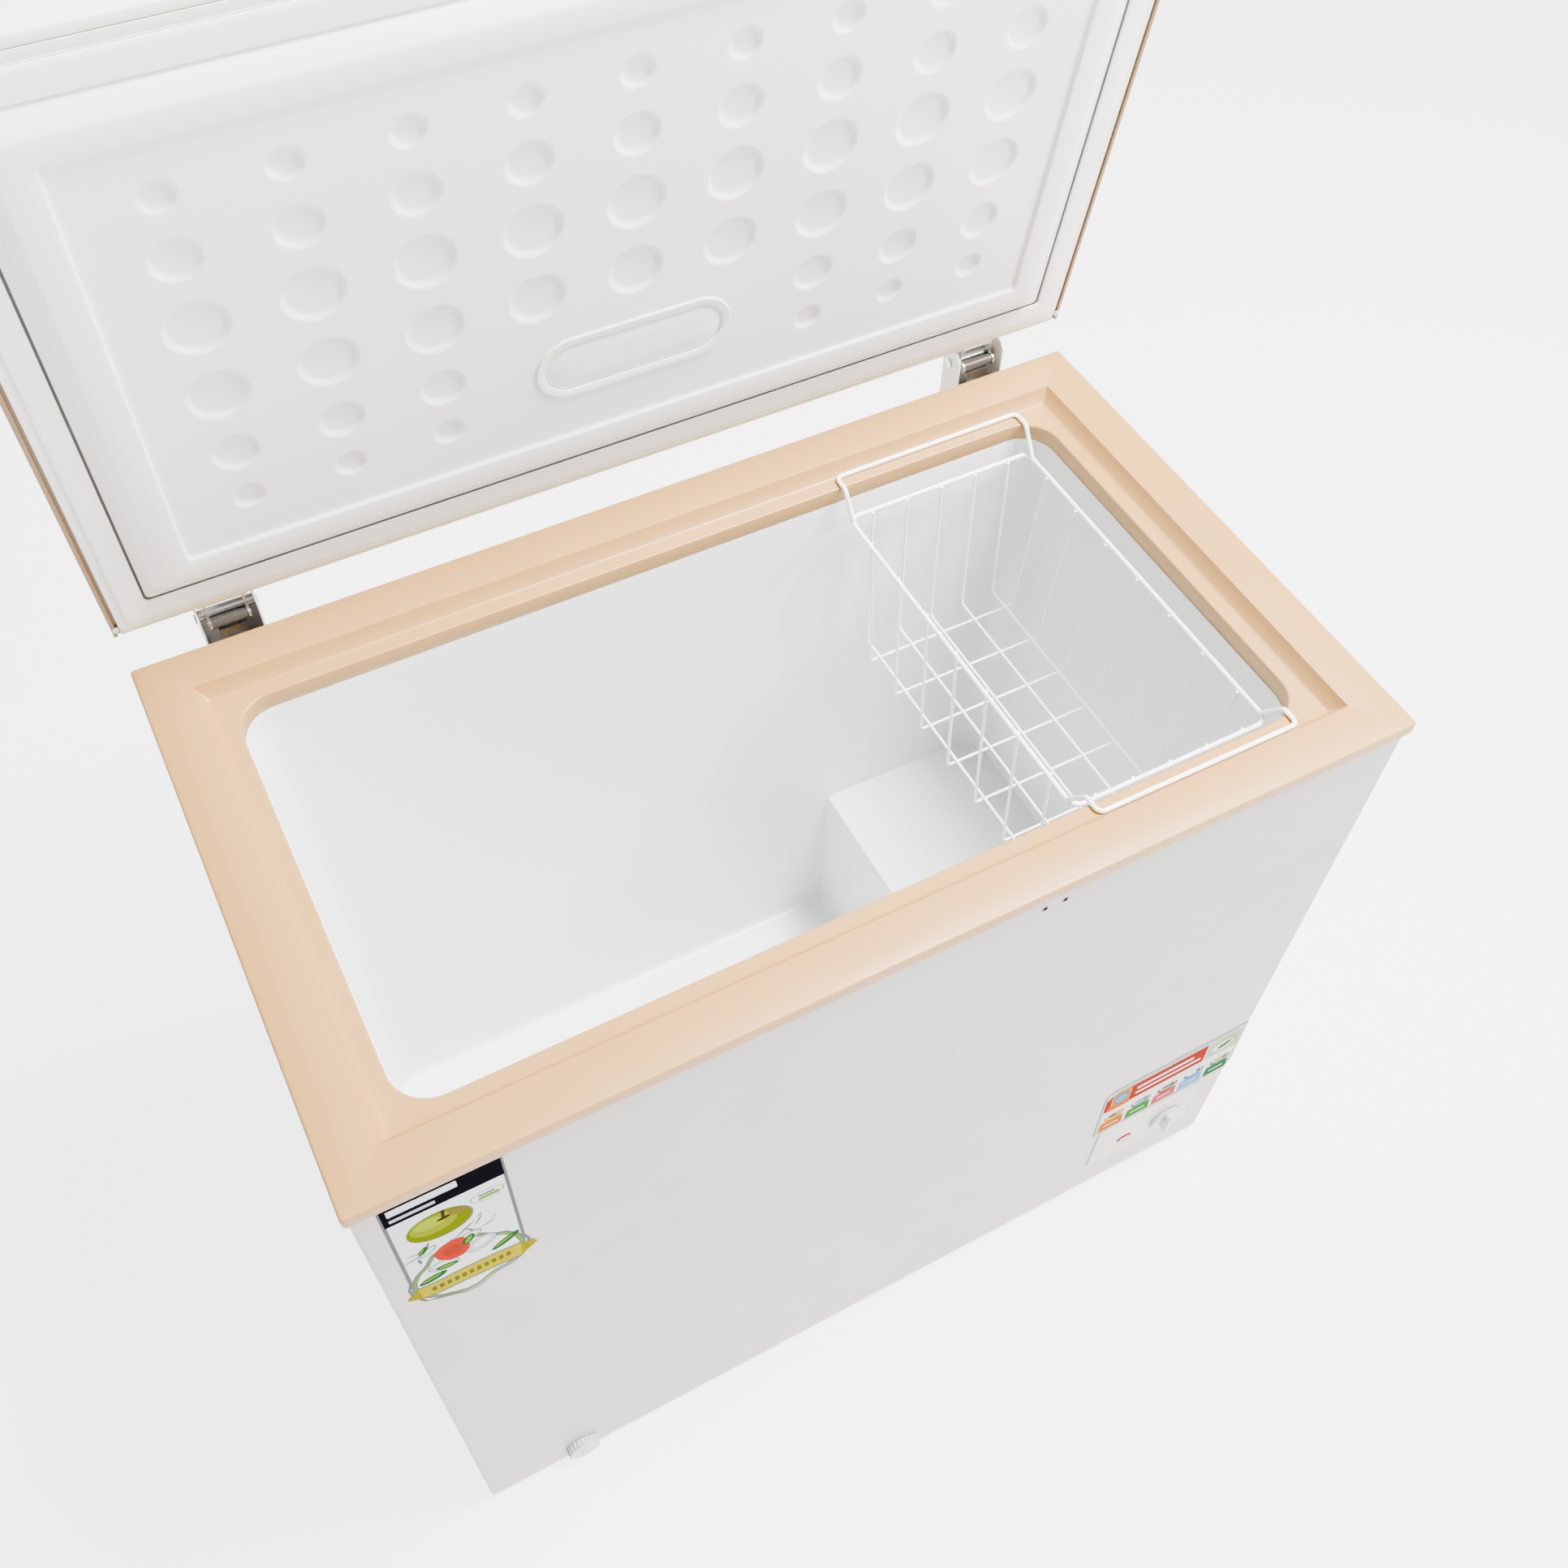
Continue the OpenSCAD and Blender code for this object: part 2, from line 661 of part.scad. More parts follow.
module hinge_housing(side) {
    color(white) cabinet() difference() {
        translate([side * hinge_x, 0, 0]) {
            for (m = [0, 1]) mirror([m, 0, 0]) translate([channel_x - channel_t, 0, 0]) rotate([90, 0, 90])
                linear_extrude(channel_t) polygon([[rear_face, channel_low], [channel_back, channel_low],
                    [channel_back, channel_top - 3], [channel_back - 3, channel_top], [283, channel_top],
                    [277, channel_top - 6], [277, body_top - 4], [rear_face, body_top - 4]]);
            block([-channel_x, channel_back - channel_t, channel_low],
                [channel_x, channel_back, channel_top - 18]);
            // The channel's end, and the shelf that the spring stands on
            for (z = [channel_low, spring_low - channel_t])
                block([-channel_x, rear_face, z], [channel_x, channel_back, z + channel_t]);
            for (m = [0, 1]) mirror([m, 0, 0])
                block([channel_x - channel_t, rear_face, channel_low],
                    [channel_x + 18, rear_face + channel_t, body_top - 6]);
        }
        hinge_fixings(side) cylinder(r = 2.5, h = 12, center = true);
        translate([side * hinge_x, hinge_y, hinge_z]) rotate([0, 90, 0])
            cylinder(r = pin_r, h = 80, center = true);
    }
}

module hinge_housing_screws() {
    color(steel) cabinet() for (s = [-1, 1]) hinge_fixings(s) screw(2.5, 12);
}

module hinge_pins() {
    color(steel) cabinet() for (side = [-1, 1])
        translate([side * hinge_x, hinge_y, hinge_z]) rotate([0, 90, 0]) {
            cylinder(r = pin_r, h = 2 * channel_x + 1, center = true);
            for (s = [-1, 1])
                translate([0, 0, s * (channel_x + 0.75)]) cylinder(r = 4.5, h = 1.5, center = true);
        }
}

// One coil in plan view is a curved lozenge; twisting it upwards gives a round wire
module spring(side) {
    coil_r = 9.5;
    wire_r = 1.5;
    pitch = 13;
    half = 360 * wire_r / pitch;
    steps = 3;
    long = seat_z - spring_low - 0.6;
    rim = [for (i = [-steps : steps])
        [coil_r + wire_r * sqrt(1 - pow(i / steps, 2)), half * i / steps]];
    inner = [for (i = [steps - 1 : -1 : 1 - steps])
        [coil_r - wire_r * sqrt(1 - pow(i / steps, 2)), half * i / steps]];
    color([0.35, 0.34, 0.33]) cabinet() translate([side * hinge_x, spring_y, spring_low + 0.3])
        linear_extrude(long, twist = -360 * long / pitch, slices = 120, $fn = 12)
            polygon([for (p = concat(rim, inner)) p[0] * [cos(p[1]), sin(p[1])]]);
}

module spring_cup(side) { translate([side * hinge_x, spring_y, 0]) children(); }

// The seat rests on the spring; its post follows the lever's sleeve down as the lid closes
module spring_seat(side) {
    post_top = lever_z - sleeve_r - seat_gap;
    color(steel) cabinet() spring_cup(side) {
        translate([0, 0, seat_z]) cylinder(r = 11.5, h = 5);
        translate([0, 0, seat_z - 30]) cylinder(r = 7, h = 30);
        block([-12, -8.5, seat_z + 4], [12, 10, post_top]);
    }
}

// One arm plate seen from the side with the lid closed, as all lid pieces are drawn
module arm_outline() {
    difference() {
        union() {
            polygon([[lid_back, collar_z + 4], [lid_back + 12, collar_z + 4], [hinge_y - 2, hinge_z - 3],
                [hinge_y + 2, hinge_z + 3], [lid_back + 12, collar_z + 24], [lid_back, collar_z + 30]]);
            translate([hinge_y, hinge_z]) circle(6.5);
            translate(lever_closed) circle(5.5);
            translate(lever_closed) rotate(atan2(hinge_z - lever_closed[1], hinge_y - lever_closed[0]))
                translate([0, -4.5]) square([lever_arm, 9]);
        }
        translate([hinge_y, hinge_z]) circle(pin_r + 0.1);
        translate(lever_closed) circle(2.5);
    }
}

lever_arm = norm([lever_y - hinge_y, lever_z - hinge_z]);
lever_angle = atan2(lever_z - hinge_z, lever_y - hinge_y) + lid_open;
lever_closed = [hinge_y, hinge_z] + lever_arm * [cos(lever_angle), sin(lever_angle)];

module lid_arm(side) {
    color(steel) on_lid() translate([side * hinge_x, 0, 0]) {
        for (x = [-arm_in - arm_t, arm_in]) translate([x, 0, 0]) rotate([90, 0, 90])
            linear_extrude(arm_t) arm_outline();
        difference() {
            block([-22, lid_back, collar_z + 4], [22, lid_back + 2, collar_z + 30]);
            at_arm_screws() cylinder(r = 2, h = 20, center = true);
        }
    }
}

module at_arm_screws() {
    for (x = [-9, 9]) translate([x, lid_back + 2, collar_z + 22]) rotate([-90, 0, 0]) children();
}

module lid_arm_screws() {
    color(steel) on_lid() for (s = [-1, 1]) translate([s * hinge_x, 0, 0]) at_arm_screws() screw(2, 14);
}

module at_levers() {
    on_lid() for (s = [-1, 1])
        translate([s * hinge_x, lever_closed[0], lever_closed[1]]) rotate([0, 90, 0]) children();
}

module lever_pins() {
    color(steel) at_levers() cylinder(r = 2.5, h = 2 * (arm_in + arm_t) + 2, center = true);
}

module lever_sleeves() {
    color([0.3, 0.29, 0.28]) at_levers() difference() {
        cylinder(r = sleeve_r, h = 2 * arm_in - 0.6, center = true);
        cylinder(r = 2.55, h = 60, center = true);
    }
}

// Lid -------------------------------------------------------------------------------------------------

module lid_pan() {
    color(paint) on_lid() difference() {
        block([-pan_x, pan_front, collar_z + flange_low + flange_t], [pan_x, lid_back, collar_z + lid_h - 2]);
        block([-pan_x + sheet_t, pan_front - 1, collar_z],
            [pan_x - sheet_t, lid_back - sheet_t, collar_z + lid_h - 2 - sheet_t]);
        for (s = [-1, 1]) translate([s * hinge_x, 0, 0])
            at_arm_screws() cylinder(r = 2, h = 40, center = true);
    }
}

module lid_foam() {
    top = collar_z + lid_h - 2 - sheet_t;
    color(foam_yellow) on_lid() difference() {
        union() {
            block([-pan_x + sheet_t, pan_front, collar_z + flange_low + flange_t],
                [pan_x - sheet_t, lid_back - sheet_t, top]);
            block([-416, -210, collar_z - 1.5], [416, 215, collar_z + 5]);
        }
        for (s = [-1, 1]) translate([s * hinge_x, 0, 0])
            at_arm_screws() cylinder(r = 2.2, h = 40, center = true);
    }
}

dimple_step = 83.4;
dimple_ys = [-148.7, -97.1, -36, 30.9, 93.9, 145.4];
dimple_rs = [13, 18, 23.5, 23, 18, 12.6];

module dimples(grow, low, high) {
    for (j = [0 : 5], k = [-4 : 4]) if (j < 4 || abs(k) > 1)
        translate([dimple_step * k, dimple_ys[j], collar_z + panel_low + low])
            cylinder(r = dimple_rs[j] + grow, h = high - low);
}

module lid_lining() {
    t = flange_t;
    base = collar_z + flange_low;
    low = collar_z + bulge_low;
    color(white) on_lid() difference() {
        union() {
            block([-pan_x, -255.3, base], [pan_x, 265.2, base + t]);
            lean_block(low, 420, -214, 219, base + eps, 429, -228, 228.5);
        }
        // Hollow behind the sloping sides and the border
        difference() {
            lean_block(low + t, 419, -213, 218, base + t + 1, 428.5, -227.5, 228);
            block([-395.2 - t, -191.5 - t, low], [395.2 + t, 195.8 + t, collar_z + panel_low + t]);
            dimples(t, -1, dimple_deep + t);
        }
        block([-395.2, -191.5, low - 1], [395.2, 195.8, collar_z + panel_low]);
        dimples(0, -1, dimple_deep);
    }
}

module lid_gasket() {
    color([0.93, 0.93, 0.92]) on_lid() difference() {
        block([-458, -253.3, collar_z + gasket_low], [458, 259.7, collar_z + flange_low]);
        block([-438.3, -229.3, collar_z], [438.3, 238.7, collar_z + flange_low + 1]);
    }
}

module lid_front_rim() {
    z = collar_z + 2.5;
    color(white) on_lid() translate([-468.5, 0, 0]) rotate([90, 0, 90]) linear_extrude(937)
        polygon([[-271.3, z], [-265.3, z], [-265.3, z + 1], [pan_front, z + 1], [pan_front, collar_z + lid_h],
            [-268.3, collar_z + lid_h], [-271.3, collar_z + lid_h - 3]]);
}

module lid_trim(side) {
    z = collar_z + 2.5;
    top = collar_z + lid_h;
    color(tan_plastic) on_lid() mirror([side < 0 ? 1 : 0, 0, 0]) difference() {
        translate([0, lid_back, 0]) rotate([90, 0, 0]) linear_extrude(lid_back + 271.3)
            polygon([[468.8, z], [472.5, z], [472.5, top - 3], [469.5, top], [452, top], [452, top - 2],
                [468.8, top - 2]]);
        block([440, -280, z - 1], [468.8, pan_front + eps, top + 1]);
    }
}

module lamp_bezel() {
    top = collar_z + panel_low;
    color(white) on_lid() translate([0, lamp_y, top - 4]) difference() {
        linear_extrude(4) oval(176, 64);
        translate([0, 0, -1]) linear_extrude(3) oval(152, 44);
        translate([0, 0, 1]) linear_extrude(4) oval(158, 50);
    }
}

module lamp_lens() {
    color([0.9, 0.9, 0.97]) on_lid() translate([0, lamp_y, collar_z + panel_low - 3])
        linear_extrude(1) oval(157.8, 49.8);
}

// Basket ----------------------------------------------------------------------------------------------

half_x = 102.25;
half_y = 191.5;
grid_x = 87.5;
grid_y = 177;
// The thin wires are welded under the rim, sunk into it a little
under_rim = rim_z - thick_wire + 0.1;

module at_basket() { color(white) cabinet() translate([basket_x, 0, 0]) children(); }

module basket_rim() {
    at_basket() translate([0, 0, rim_z]) wire_loop(half_x, half_y, thick_wire, 12);
}

// The two grips lie on the ledge; each end runs back over the ledge's edge and down to the rim
module basket_grips() {
    grip_y = 220.5;
    bend = 7;
    grip_z = ledge_z + thick_wire + 0.15;
    drop_y = 200;
    foot_y = half_y - 14;
    foot_z = rim_z + thick_wire + 0.6;
    at_basket() for (s = [0, 1]) mirror([0, s, 0]) {
        translate([0, 0, grip_z]) wire([[-half_x, -grip_y + bend], [-half_x, -grip_y], [half_x, -grip_y],
            [half_x, -grip_y + bend]], thick_wire, bend);
        for (x = [-half_x, half_x]) translate([x, 0, 0]) rotate([90, 0, 90])
            wire([[-grip_y + bend, grip_z], [-drop_y, grip_z], [-foot_y, foot_z]], thick_wire, 6);
    }
}

// Wires running front to back: down one side, along the floor and up the other
module basket_long_wires() {
    pitch = 38.7;
    at_basket() for (k = [-2 : 2]) translate([k * pitch, 0, 0]) rotate([90, 0, 90])
        wire([[-half_y, under_rim], [-grid_y, grid_z], [grid_y, grid_z], [half_y, under_rim]], thin_wire, 10);
}

// Wires running left to right, below the long ones where they cross
module basket_cross_wires() {
    pitch = 51;
    low = grid_z - 2 * thin_wire;
    at_basket() for (k = [-3 : 3]) translate([0, k * pitch, 0]) rotate([90, 0, 0])
        wire([[-half_x, under_rim], [-grid_x, low], [grid_x, low], [half_x, under_rim]], thin_wire, 10);
}

outer_shell();
rear_panel();
base_plate();
cabinet_foam();
tub();
collar();
feet();
foot_screws();
evaporator_tube();
condenser_tube();
bay_wall();
bay_cover();
bay_cover_screws();
cord_gland();
compressor();
compressor_plate();
compressor_tray();
compressor_grommets();
compressor_bolts();
relay_cover();
filter_drier();
bay_pipes();
control_panel();
panel_screws();
thermostat_body();
thermostat_shaft();
thermostat_knob();
indicator_lens();
indicator_holder();
drain_tube();
drain_plug();
drain_cap();
feature_sticker();
front_sticker();
hinge_housing(-1);  // hinge_housing_left
hinge_housing(1);  // hinge_housing_right
hinge_housing_screws();
hinge_pins();
spring(-1);  // spring_left
spring(1);  // spring_right
spring_seat(-1);  // spring_seat_left
spring_seat(1);  // spring_seat_right
lid_arm(-1);  // lid_arm_left
lid_arm(1);  // lid_arm_right
lid_arm_screws();
lever_pins();
lever_sleeves();
lid_pan();
lid_foam();
lid_lining();
lid_gasket();
lid_front_rim();
lid_trim(-1);  // lid_trim_left
lid_trim(1);  // lid_trim_right
lamp_bezel();
lamp_lens();
basket_rim();
basket_grips();
basket_long_wires();
basket_cross_wires();
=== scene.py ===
from math import acos, cos, hypot, pi, radians, sin

import bmesh
import bpy
import numpy as np
from mathutils import Matrix, Vector


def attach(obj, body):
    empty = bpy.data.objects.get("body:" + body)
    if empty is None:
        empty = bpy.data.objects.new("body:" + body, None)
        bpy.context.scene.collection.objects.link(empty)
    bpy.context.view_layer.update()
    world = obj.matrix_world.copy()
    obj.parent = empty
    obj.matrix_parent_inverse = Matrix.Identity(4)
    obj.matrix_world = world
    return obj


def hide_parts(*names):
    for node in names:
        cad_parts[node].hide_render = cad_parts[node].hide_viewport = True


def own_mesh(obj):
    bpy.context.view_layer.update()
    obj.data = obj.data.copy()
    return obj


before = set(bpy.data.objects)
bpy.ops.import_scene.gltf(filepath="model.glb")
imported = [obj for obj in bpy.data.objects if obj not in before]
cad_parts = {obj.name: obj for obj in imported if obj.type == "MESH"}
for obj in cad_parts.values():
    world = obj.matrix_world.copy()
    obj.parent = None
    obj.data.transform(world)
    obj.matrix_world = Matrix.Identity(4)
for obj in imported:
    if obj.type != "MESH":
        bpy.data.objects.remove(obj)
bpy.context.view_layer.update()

# Sizes in millimetres in the cabinet's own frame: x from its middle, y from its middle, z from the floor
CAB_Y = -17.5
FRONT_Y = -268.7
BODY_X, BODY_TOP = 468.8, 804.9
COLLAR_X, COLLAR_Y, COLLAR_Z = 472.5, 272.7, 817.4
LEDGE_Z = 803.3
TUB_TOP, TUB_STEP, TUB_FLOOR = 786.4, 300, 84
# The hinge line, and how far the lid stands open at rest
HINGE_Y, HINGE_Z, LID_OPEN = 294.5, 827.3, radians(81.53)
COS, SIN = cos(LID_OPEN), sin(LID_OPEN)
# With the lid shut: the lining's recessed panel, measured from the collar's top, and the lamp's middle
PANEL_Z = -5.4
LAMP_Y = 115.6
# How far the stickers' film stands off the front, and how far each printed layer adds to it
FILM, LAYER = 0.26, 0.03


def cab(p):
    """A cabinet point in millimetres, as a point of the shared frame in metres."""
    return Vector((p[0] / 1000, (p[1] + CAB_Y) / 1000, p[2] / 1000))


def lid(p):
    """The same for a lid point given with the lid shut; z is from the collar's top."""
    y, z = p[1] - HINGE_Y, p[2] + COLLAR_Z - HINGE_Z
    return cab((p[0], HINGE_Y + y * COS + z * SIN, HINGE_Z - y * SIN + z * COS))


# Materials ---------------------------------------------------------------------------------------------


class Look:
    """Builds one procedural material on top of a Principled shader."""

    def __init__(self, name, color, rough, metal=0.0, coat=0.0, spec=0.5):
        self.mat = bpy.data.materials.new(name)
        self.mat.use_nodes = True
        self.tree = self.mat.node_tree
        self.bsdf = self.tree.nodes["Principled BSDF"]
        self.color, self.rough = color, rough
        self.bsdf.inputs["Base Color"].default_value = (*color, 1)
        self.bsdf.inputs["Roughness"].default_value = rough
        self.bsdf.inputs["Metallic"].default_value = metal
        self.bsdf.inputs["Coat Weight"].default_value = coat
        self.bsdf.inputs["Coat Roughness"].default_value = 0.12
        self.bsdf.inputs["Specular IOR Level"].default_value = spec

    def node(self, kind, **inputs):
        n = self.tree.nodes.new(kind)
        for k, v in inputs.items():
            n.inputs[k.replace("_", " ")].default_value = v
        return n

    def link(self, a, b):
        self.tree.links.new(a, b)

    def noise(self, scale, detail=3.0, stretch=(1, 1, 1)):
        """Noise over the object's own coordinates, which are stretched by a scale each way."""
        place = self.node("ShaderNodeMapping", Scale=stretch)
        self.link(self.node("ShaderNodeTexCoord").outputs["Object"], place.inputs["Vector"])
        n = self.node("ShaderNodeTexNoise", Scale=scale, Detail=detail, Roughness=0.5)
        self.link(place.outputs["Vector"], n.inputs["Vector"])
        return n.outputs["Fac"]

    def spread(self, fac, low, high):
        """Stretches the middle of a noise's range over the given range."""
        n = self.node("ShaderNodeMapRange", From_Min=0.3, From_Max=0.7, To_Min=low, To_Max=high)
        self.link(fac, n.inputs["Value"])
        return n.outputs["Result"]

    def tint(self, fac, change):
        """Varies the base colour between itself and itself times a factor."""
        n = self.node("ShaderNodeMix")
        n.data_type = "RGBA"
        n.inputs["A"].default_value = (*self.color, 1)
        n.inputs["B"].default_value = (*[min(1, c * f) for c, f in zip(self.color, change)], 1)
        self.link(self.spread(fac, 0, 1), n.inputs["Factor"])
        self.link(n.outputs["Result"], self.bsdf.inputs["Base Color"])

    def vary_rough(self, fac, amount):
        self.link(self.spread(fac, self.rough - amount, self.rough + amount), self.bsdf.inputs["Roughness"])

    def bump(self, fac, strength, distance):
        n = self.node("ShaderNodeBump", Strength=strength, Distance=distance)
        self.link(fac, n.inputs["Height"])
        self.link(n.outputs["Normal"], self.bsdf.inputs["Normal"])


def look(name, color, rough, grain=400, bump=0.08, deep=0.0002, change=(0.97, 0.97, 0.96), vary=0.05, **more):
    """A finish with a fine grain, a wide faint tint and a slightly uneven gloss."""
    m = Look(name, color, rough, **more)
    fine = m.noise(grain)
    wide = m.noise(3.5, 2.0)
    m.tint(wide, change)
    m.vary_rough(m.noise(18), vary)
    m.bump(fine, bump, deep)
    return m.mat


def lens_look():
    """The lamp's frosted cover, which glows very faintly."""
    m = Look("lamp_lens", (0.80, 0.80, 0.87), 0.32, coat=0.3)
    m.tint(m.noise(26, stretch=(1, 1, 3)), (0.93, 0.93, 0.99))
    m.bump(m.noise(500), 0.15, 0.0002)
    m.bsdf.inputs["Emission Color"].default_value = (0.85, 0.85, 1.0, 1)
    m.bsdf.inputs["Emission Strength"].default_value = 0.06
    return m.mat


def ink(name, color):
    """Matt print: it mirrors nothing, so that it keeps its colour from a low angle."""
    return look("ink_" + name, color, 0.5, grain=600, bump=0.04, deep=0.0001, change=(0.93, 0.93, 0.93),
                spec=0.0)


# Painted and moulded parts of the cabinet
PAINT = look("painted_steel", (0.47, 0.442, 0.412), 0.4, grain=260, bump=0.06, deep=0.0003, spec=0.25)
TAN = look("tan_plastic", (0.41, 0.215, 0.062), 0.42, grain=900, bump=0.12, deep=0.00015,
           change=(0.96, 0.95, 0.93))
# A darker copy of the same tan plastic, which paints the shade on the lid's side trims and on the thin web
# under them
TAN_SHADED = look("tan_painted_shade", (0.22, 0.125, 0.05), 0.42, grain=900, bump=0.12, deep=0.00015,
                change=(0.95, 0.94, 0.92))
TUB = look("tub_white", (0.78, 0.81, 0.80), 0.33, grain=180, bump=0.05, deep=0.0004, coat=0.1)
CAP = look("cap_plastic", (0.60, 0.58, 0.555), 0.4, grain=500, bump=0.08)
PANEL = look("panel_plastic", (0.50, 0.475, 0.448), 0.38, grain=800, bump=0.1, deep=0.0001)
KNOB = look("knob_plastic", (0.56, 0.54, 0.52), 0.35, grain=700, bump=0.08, deep=0.0001)
RED = look("red_lens", (0.45, 0.012, 0.008), 0.15, grain=900, bump=0.2, coat=0.5, change=(0.7, 0.6, 0.6))
FOAM = look("foam", (0.80, 0.70, 0.42), 0.9, grain=700, bump=0.5, deep=0.0006, change=(0.9, 0.9, 0.82))
BLACK_PLASTIC = look("black_plastic", (0.03, 0.03, 0.032), 0.5, grain=500, bump=0.2)
# Near-black that paints the shade in a hole and a crevice: round the drain hole, and where the lid's seal meets
# the lining
PAINTED_SHADE = look("painted_gap_shade", (0.035, 0.033, 0.03), 0.7, grain=300, bump=0.1)
# Lid and basket
LINING = look("lid_lining", (0.83, 0.815, 0.80), 0.34, grain=700, bump=0.06, deep=0.00015)
GASKET = look("gasket", (0.90, 0.89, 0.88), 0.5, grain=600, bump=0.1)
RIM = look("rim_grey", (0.86, 0.85, 0.84), 0.38, grain=500, bump=0.06)
LENS = lens_look()
WIRE = look("coated_wire", (0.95, 0.95, 0.94), 0.3, grain=350, bump=0.1, coat=0.4)
# Hinges and machine bay
HINGE_WHITE = look("hinge_white", (0.82, 0.82, 0.81), 0.35, grain=300, bump=0.08, deep=0.0003)
ZINC = look("zinc", (0.62, 0.62, 0.60), 0.3, grain=220, bump=0.15, change=(0.85, 0.84, 0.80), vary=0.12,
            metal=1.0)
SHEET = look("zinc_sheet", (0.60, 0.61, 0.62), 0.42, grain=90, bump=0.1, deep=0.0003,
             change=(0.88, 0.88, 0.88), vary=0.1, metal=1.0)
GREASE = look("greased_steel", (0.07, 0.06, 0.05), 0.28, grain=120, bump=0.3, deep=0.0005,
              change=(0.6, 0.6, 0.55))
SPRING = look("spring_steel", (0.16, 0.15, 0.14), 0.32, grain=160, bump=0.2, deep=0.0003, metal=1.0)
COPPER = look("copper", (0.72, 0.38, 0.24), 0.35, grain=120, bump=0.1, deep=0.0003, change=(0.8, 0.72, 0.66),
              metal=1.0)
ALU = look("aluminium", (0.75, 0.76, 0.77), 0.35, grain=120, bump=0.1, deep=0.0003, metal=1.0)
BLACK = look("black_enamel", (0.016, 0.016, 0.018), 0.3, grain=200, bump=0.15, deep=0.0003, coat=0.4)
RUBBER = look("rubber", (0.02, 0.02, 0.02), 0.75, grain=300, bump=0.3, deep=0.0003)


# Mesh helpers ------------------------------------------------------------------------------------------


def piece(name, verts, faces, mat, body, slot=None, replaces=(), smooth=True, sharp=32, mats=None, tags=None):
    """One object from points in the shared frame; with mats, tags give each face's material number."""
    mesh = bpy.data.meshes.new(name)
    mesh.from_pydata([tuple(v) for v in verts], [], faces)
    for m in mats or [mat]:
        mesh.materials.append(m)
    if tags is not None:
        mesh.polygons.foreach_set("material_index", tags)
    mesh.validate()
    bm = bmesh.new()
    bm.from_mesh(mesh)
    bmesh.ops.remove_doubles(bm, verts=bm.verts, dist=2e-6)
    if tags is None:
        bmesh.ops.recalc_face_normals(bm, faces=bm.faces)
    bm.to_mesh(mesh)
    bm.free()
    obj = bpy.data.objects.new(name, mesh)
    bpy.context.scene.collection.objects.link(obj)
    if smooth:
        mesh.shade_smooth()
        mesh.set_sharp_from_angle(angle=radians(sharp))
    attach(obj, body)
    if replaces:
        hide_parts(*replaces)
    return obj


def moved(made, where):
    """Points and faces, with each point carried by cab or lid."""
    verts, faces = made
    return [where(p) for p in verts], faces


def around(n):
    """Equal angles once round a circle."""
    return [2 * pi * i / n for i in range(n)]


def rounded(x0, x1, y0, y1, r, z, n=8, left_r=None):
    """A rectangle's outline with round corners, as 4 * (n + 1) points; left_r is for the corners at x0."""
    q = r if left_r is None else left_r
    pts = []
    for cx, cy, radius, start in ((x1 - r, y1 - r, r, 0), (x0 + q, y1 - q, q, 90), (x0 + q, y0 + q, q, 180),
                                  (x1 - r, y0 + r, r, 270)):
        for i in range(n + 1):
            t = radians(start + 90 * i / n)
            pts.append((cx + radius * cos(t), cy + radius * sin(t), z))
    return pts


def centred(x, y, r, z):
    """The same outline about the middle, from half its width and half its depth."""
    return rounded(-x, x, -y, y, r, z)


def loft(loops, closed_ends=(False, False), ring=False):
    """Quads between outlines that have the same number of points."""
    n = len(loops[0])
    verts = [p for loop in loops for p in loop]
    faces = []
    count = len(loops)
    for k in range(count if ring else count - 1):
        a, b = k * n, ((k + 1) % count) * n
        for i in range(n):
            j = (i + 1) % n
            faces.append((a + i, a + j, b + j, b + i))
    if closed_ends[0]:
        faces.append(tuple(range(n)))
    if closed_ends[1]:
        faces.append(tuple(range((count - 1) * n, count * n)))
    return verts, faces


class Parts:
    """Collects several solids into one mesh, with a material number for each face."""

    def __init__(self):
        self.verts, self.faces, self.tags = [], [], []

    def add(self, made, tag=0):
        verts, faces = made
        base = len(self.verts)
        self.verts += list(verts)
        self.faces += [tuple(i + base for i in f) for f in faces]
        self.tags += [tag] * len(faces)

    def made(self):
        return self.verts, self.faces


def bent(points, radius, n=7):
    """A path through 3-D points with each inner corner rounded."""
    pts = [Vector(p) for p in points]
    out = [pts[0]]
    for i in range(1, len(pts) - 1):
        a, b = (pts[i] - pts[i - 1]).normalized(), (pts[i + 1] - pts[i]).normalized()
        turn = acos(max(-1, min(1, a.dot(b))))
        if turn < 0.02:
            out.append(pts[i])
            continue
        room = min((pts[i] - pts[i - 1]).length, (pts[i + 1] - pts[i]).length) * 0.48
        slope = abs(sin(turn / 2) / cos(turn / 2))
        cut = min(radius * slope, room)
        r = cut / slope
        start = pts[i] - a * cut
        side = (b - a * a.dot(b)).normalized()
        centre = start + side * r
        for k in range(n + 1):
            t = turn * k / n
            out.append(centre - side * r * cos(t) + a * r * sin(t))
    out.append(pts[-1])
    return out


def tube(path, r, sides=12, closed=False):
    """A round tube along a path of points, capped unless it closes on itself."""
    pts = [Vector(p) for p in path]
    n = len(pts)
    loops = []
    up = None
    for i in range(n):
        ahead = pts[(i + 1) % n] if closed or i < n - 1 else pts[i]
        back = pts[i - 1] if closed or i > 0 else pts[i]
        d = (ahead - back).normalized()
        if up is None:
            up = d.orthogonal().normalized()
        up = (up - d * up.dot(d)).normalized()
        side = d.cross(up)
        loops.append([tuple(pts[i] + up * r * cos(t) + side * r * sin(t)) for t in around(sides)])
    return loft(loops, (not closed, not closed), ring=closed)


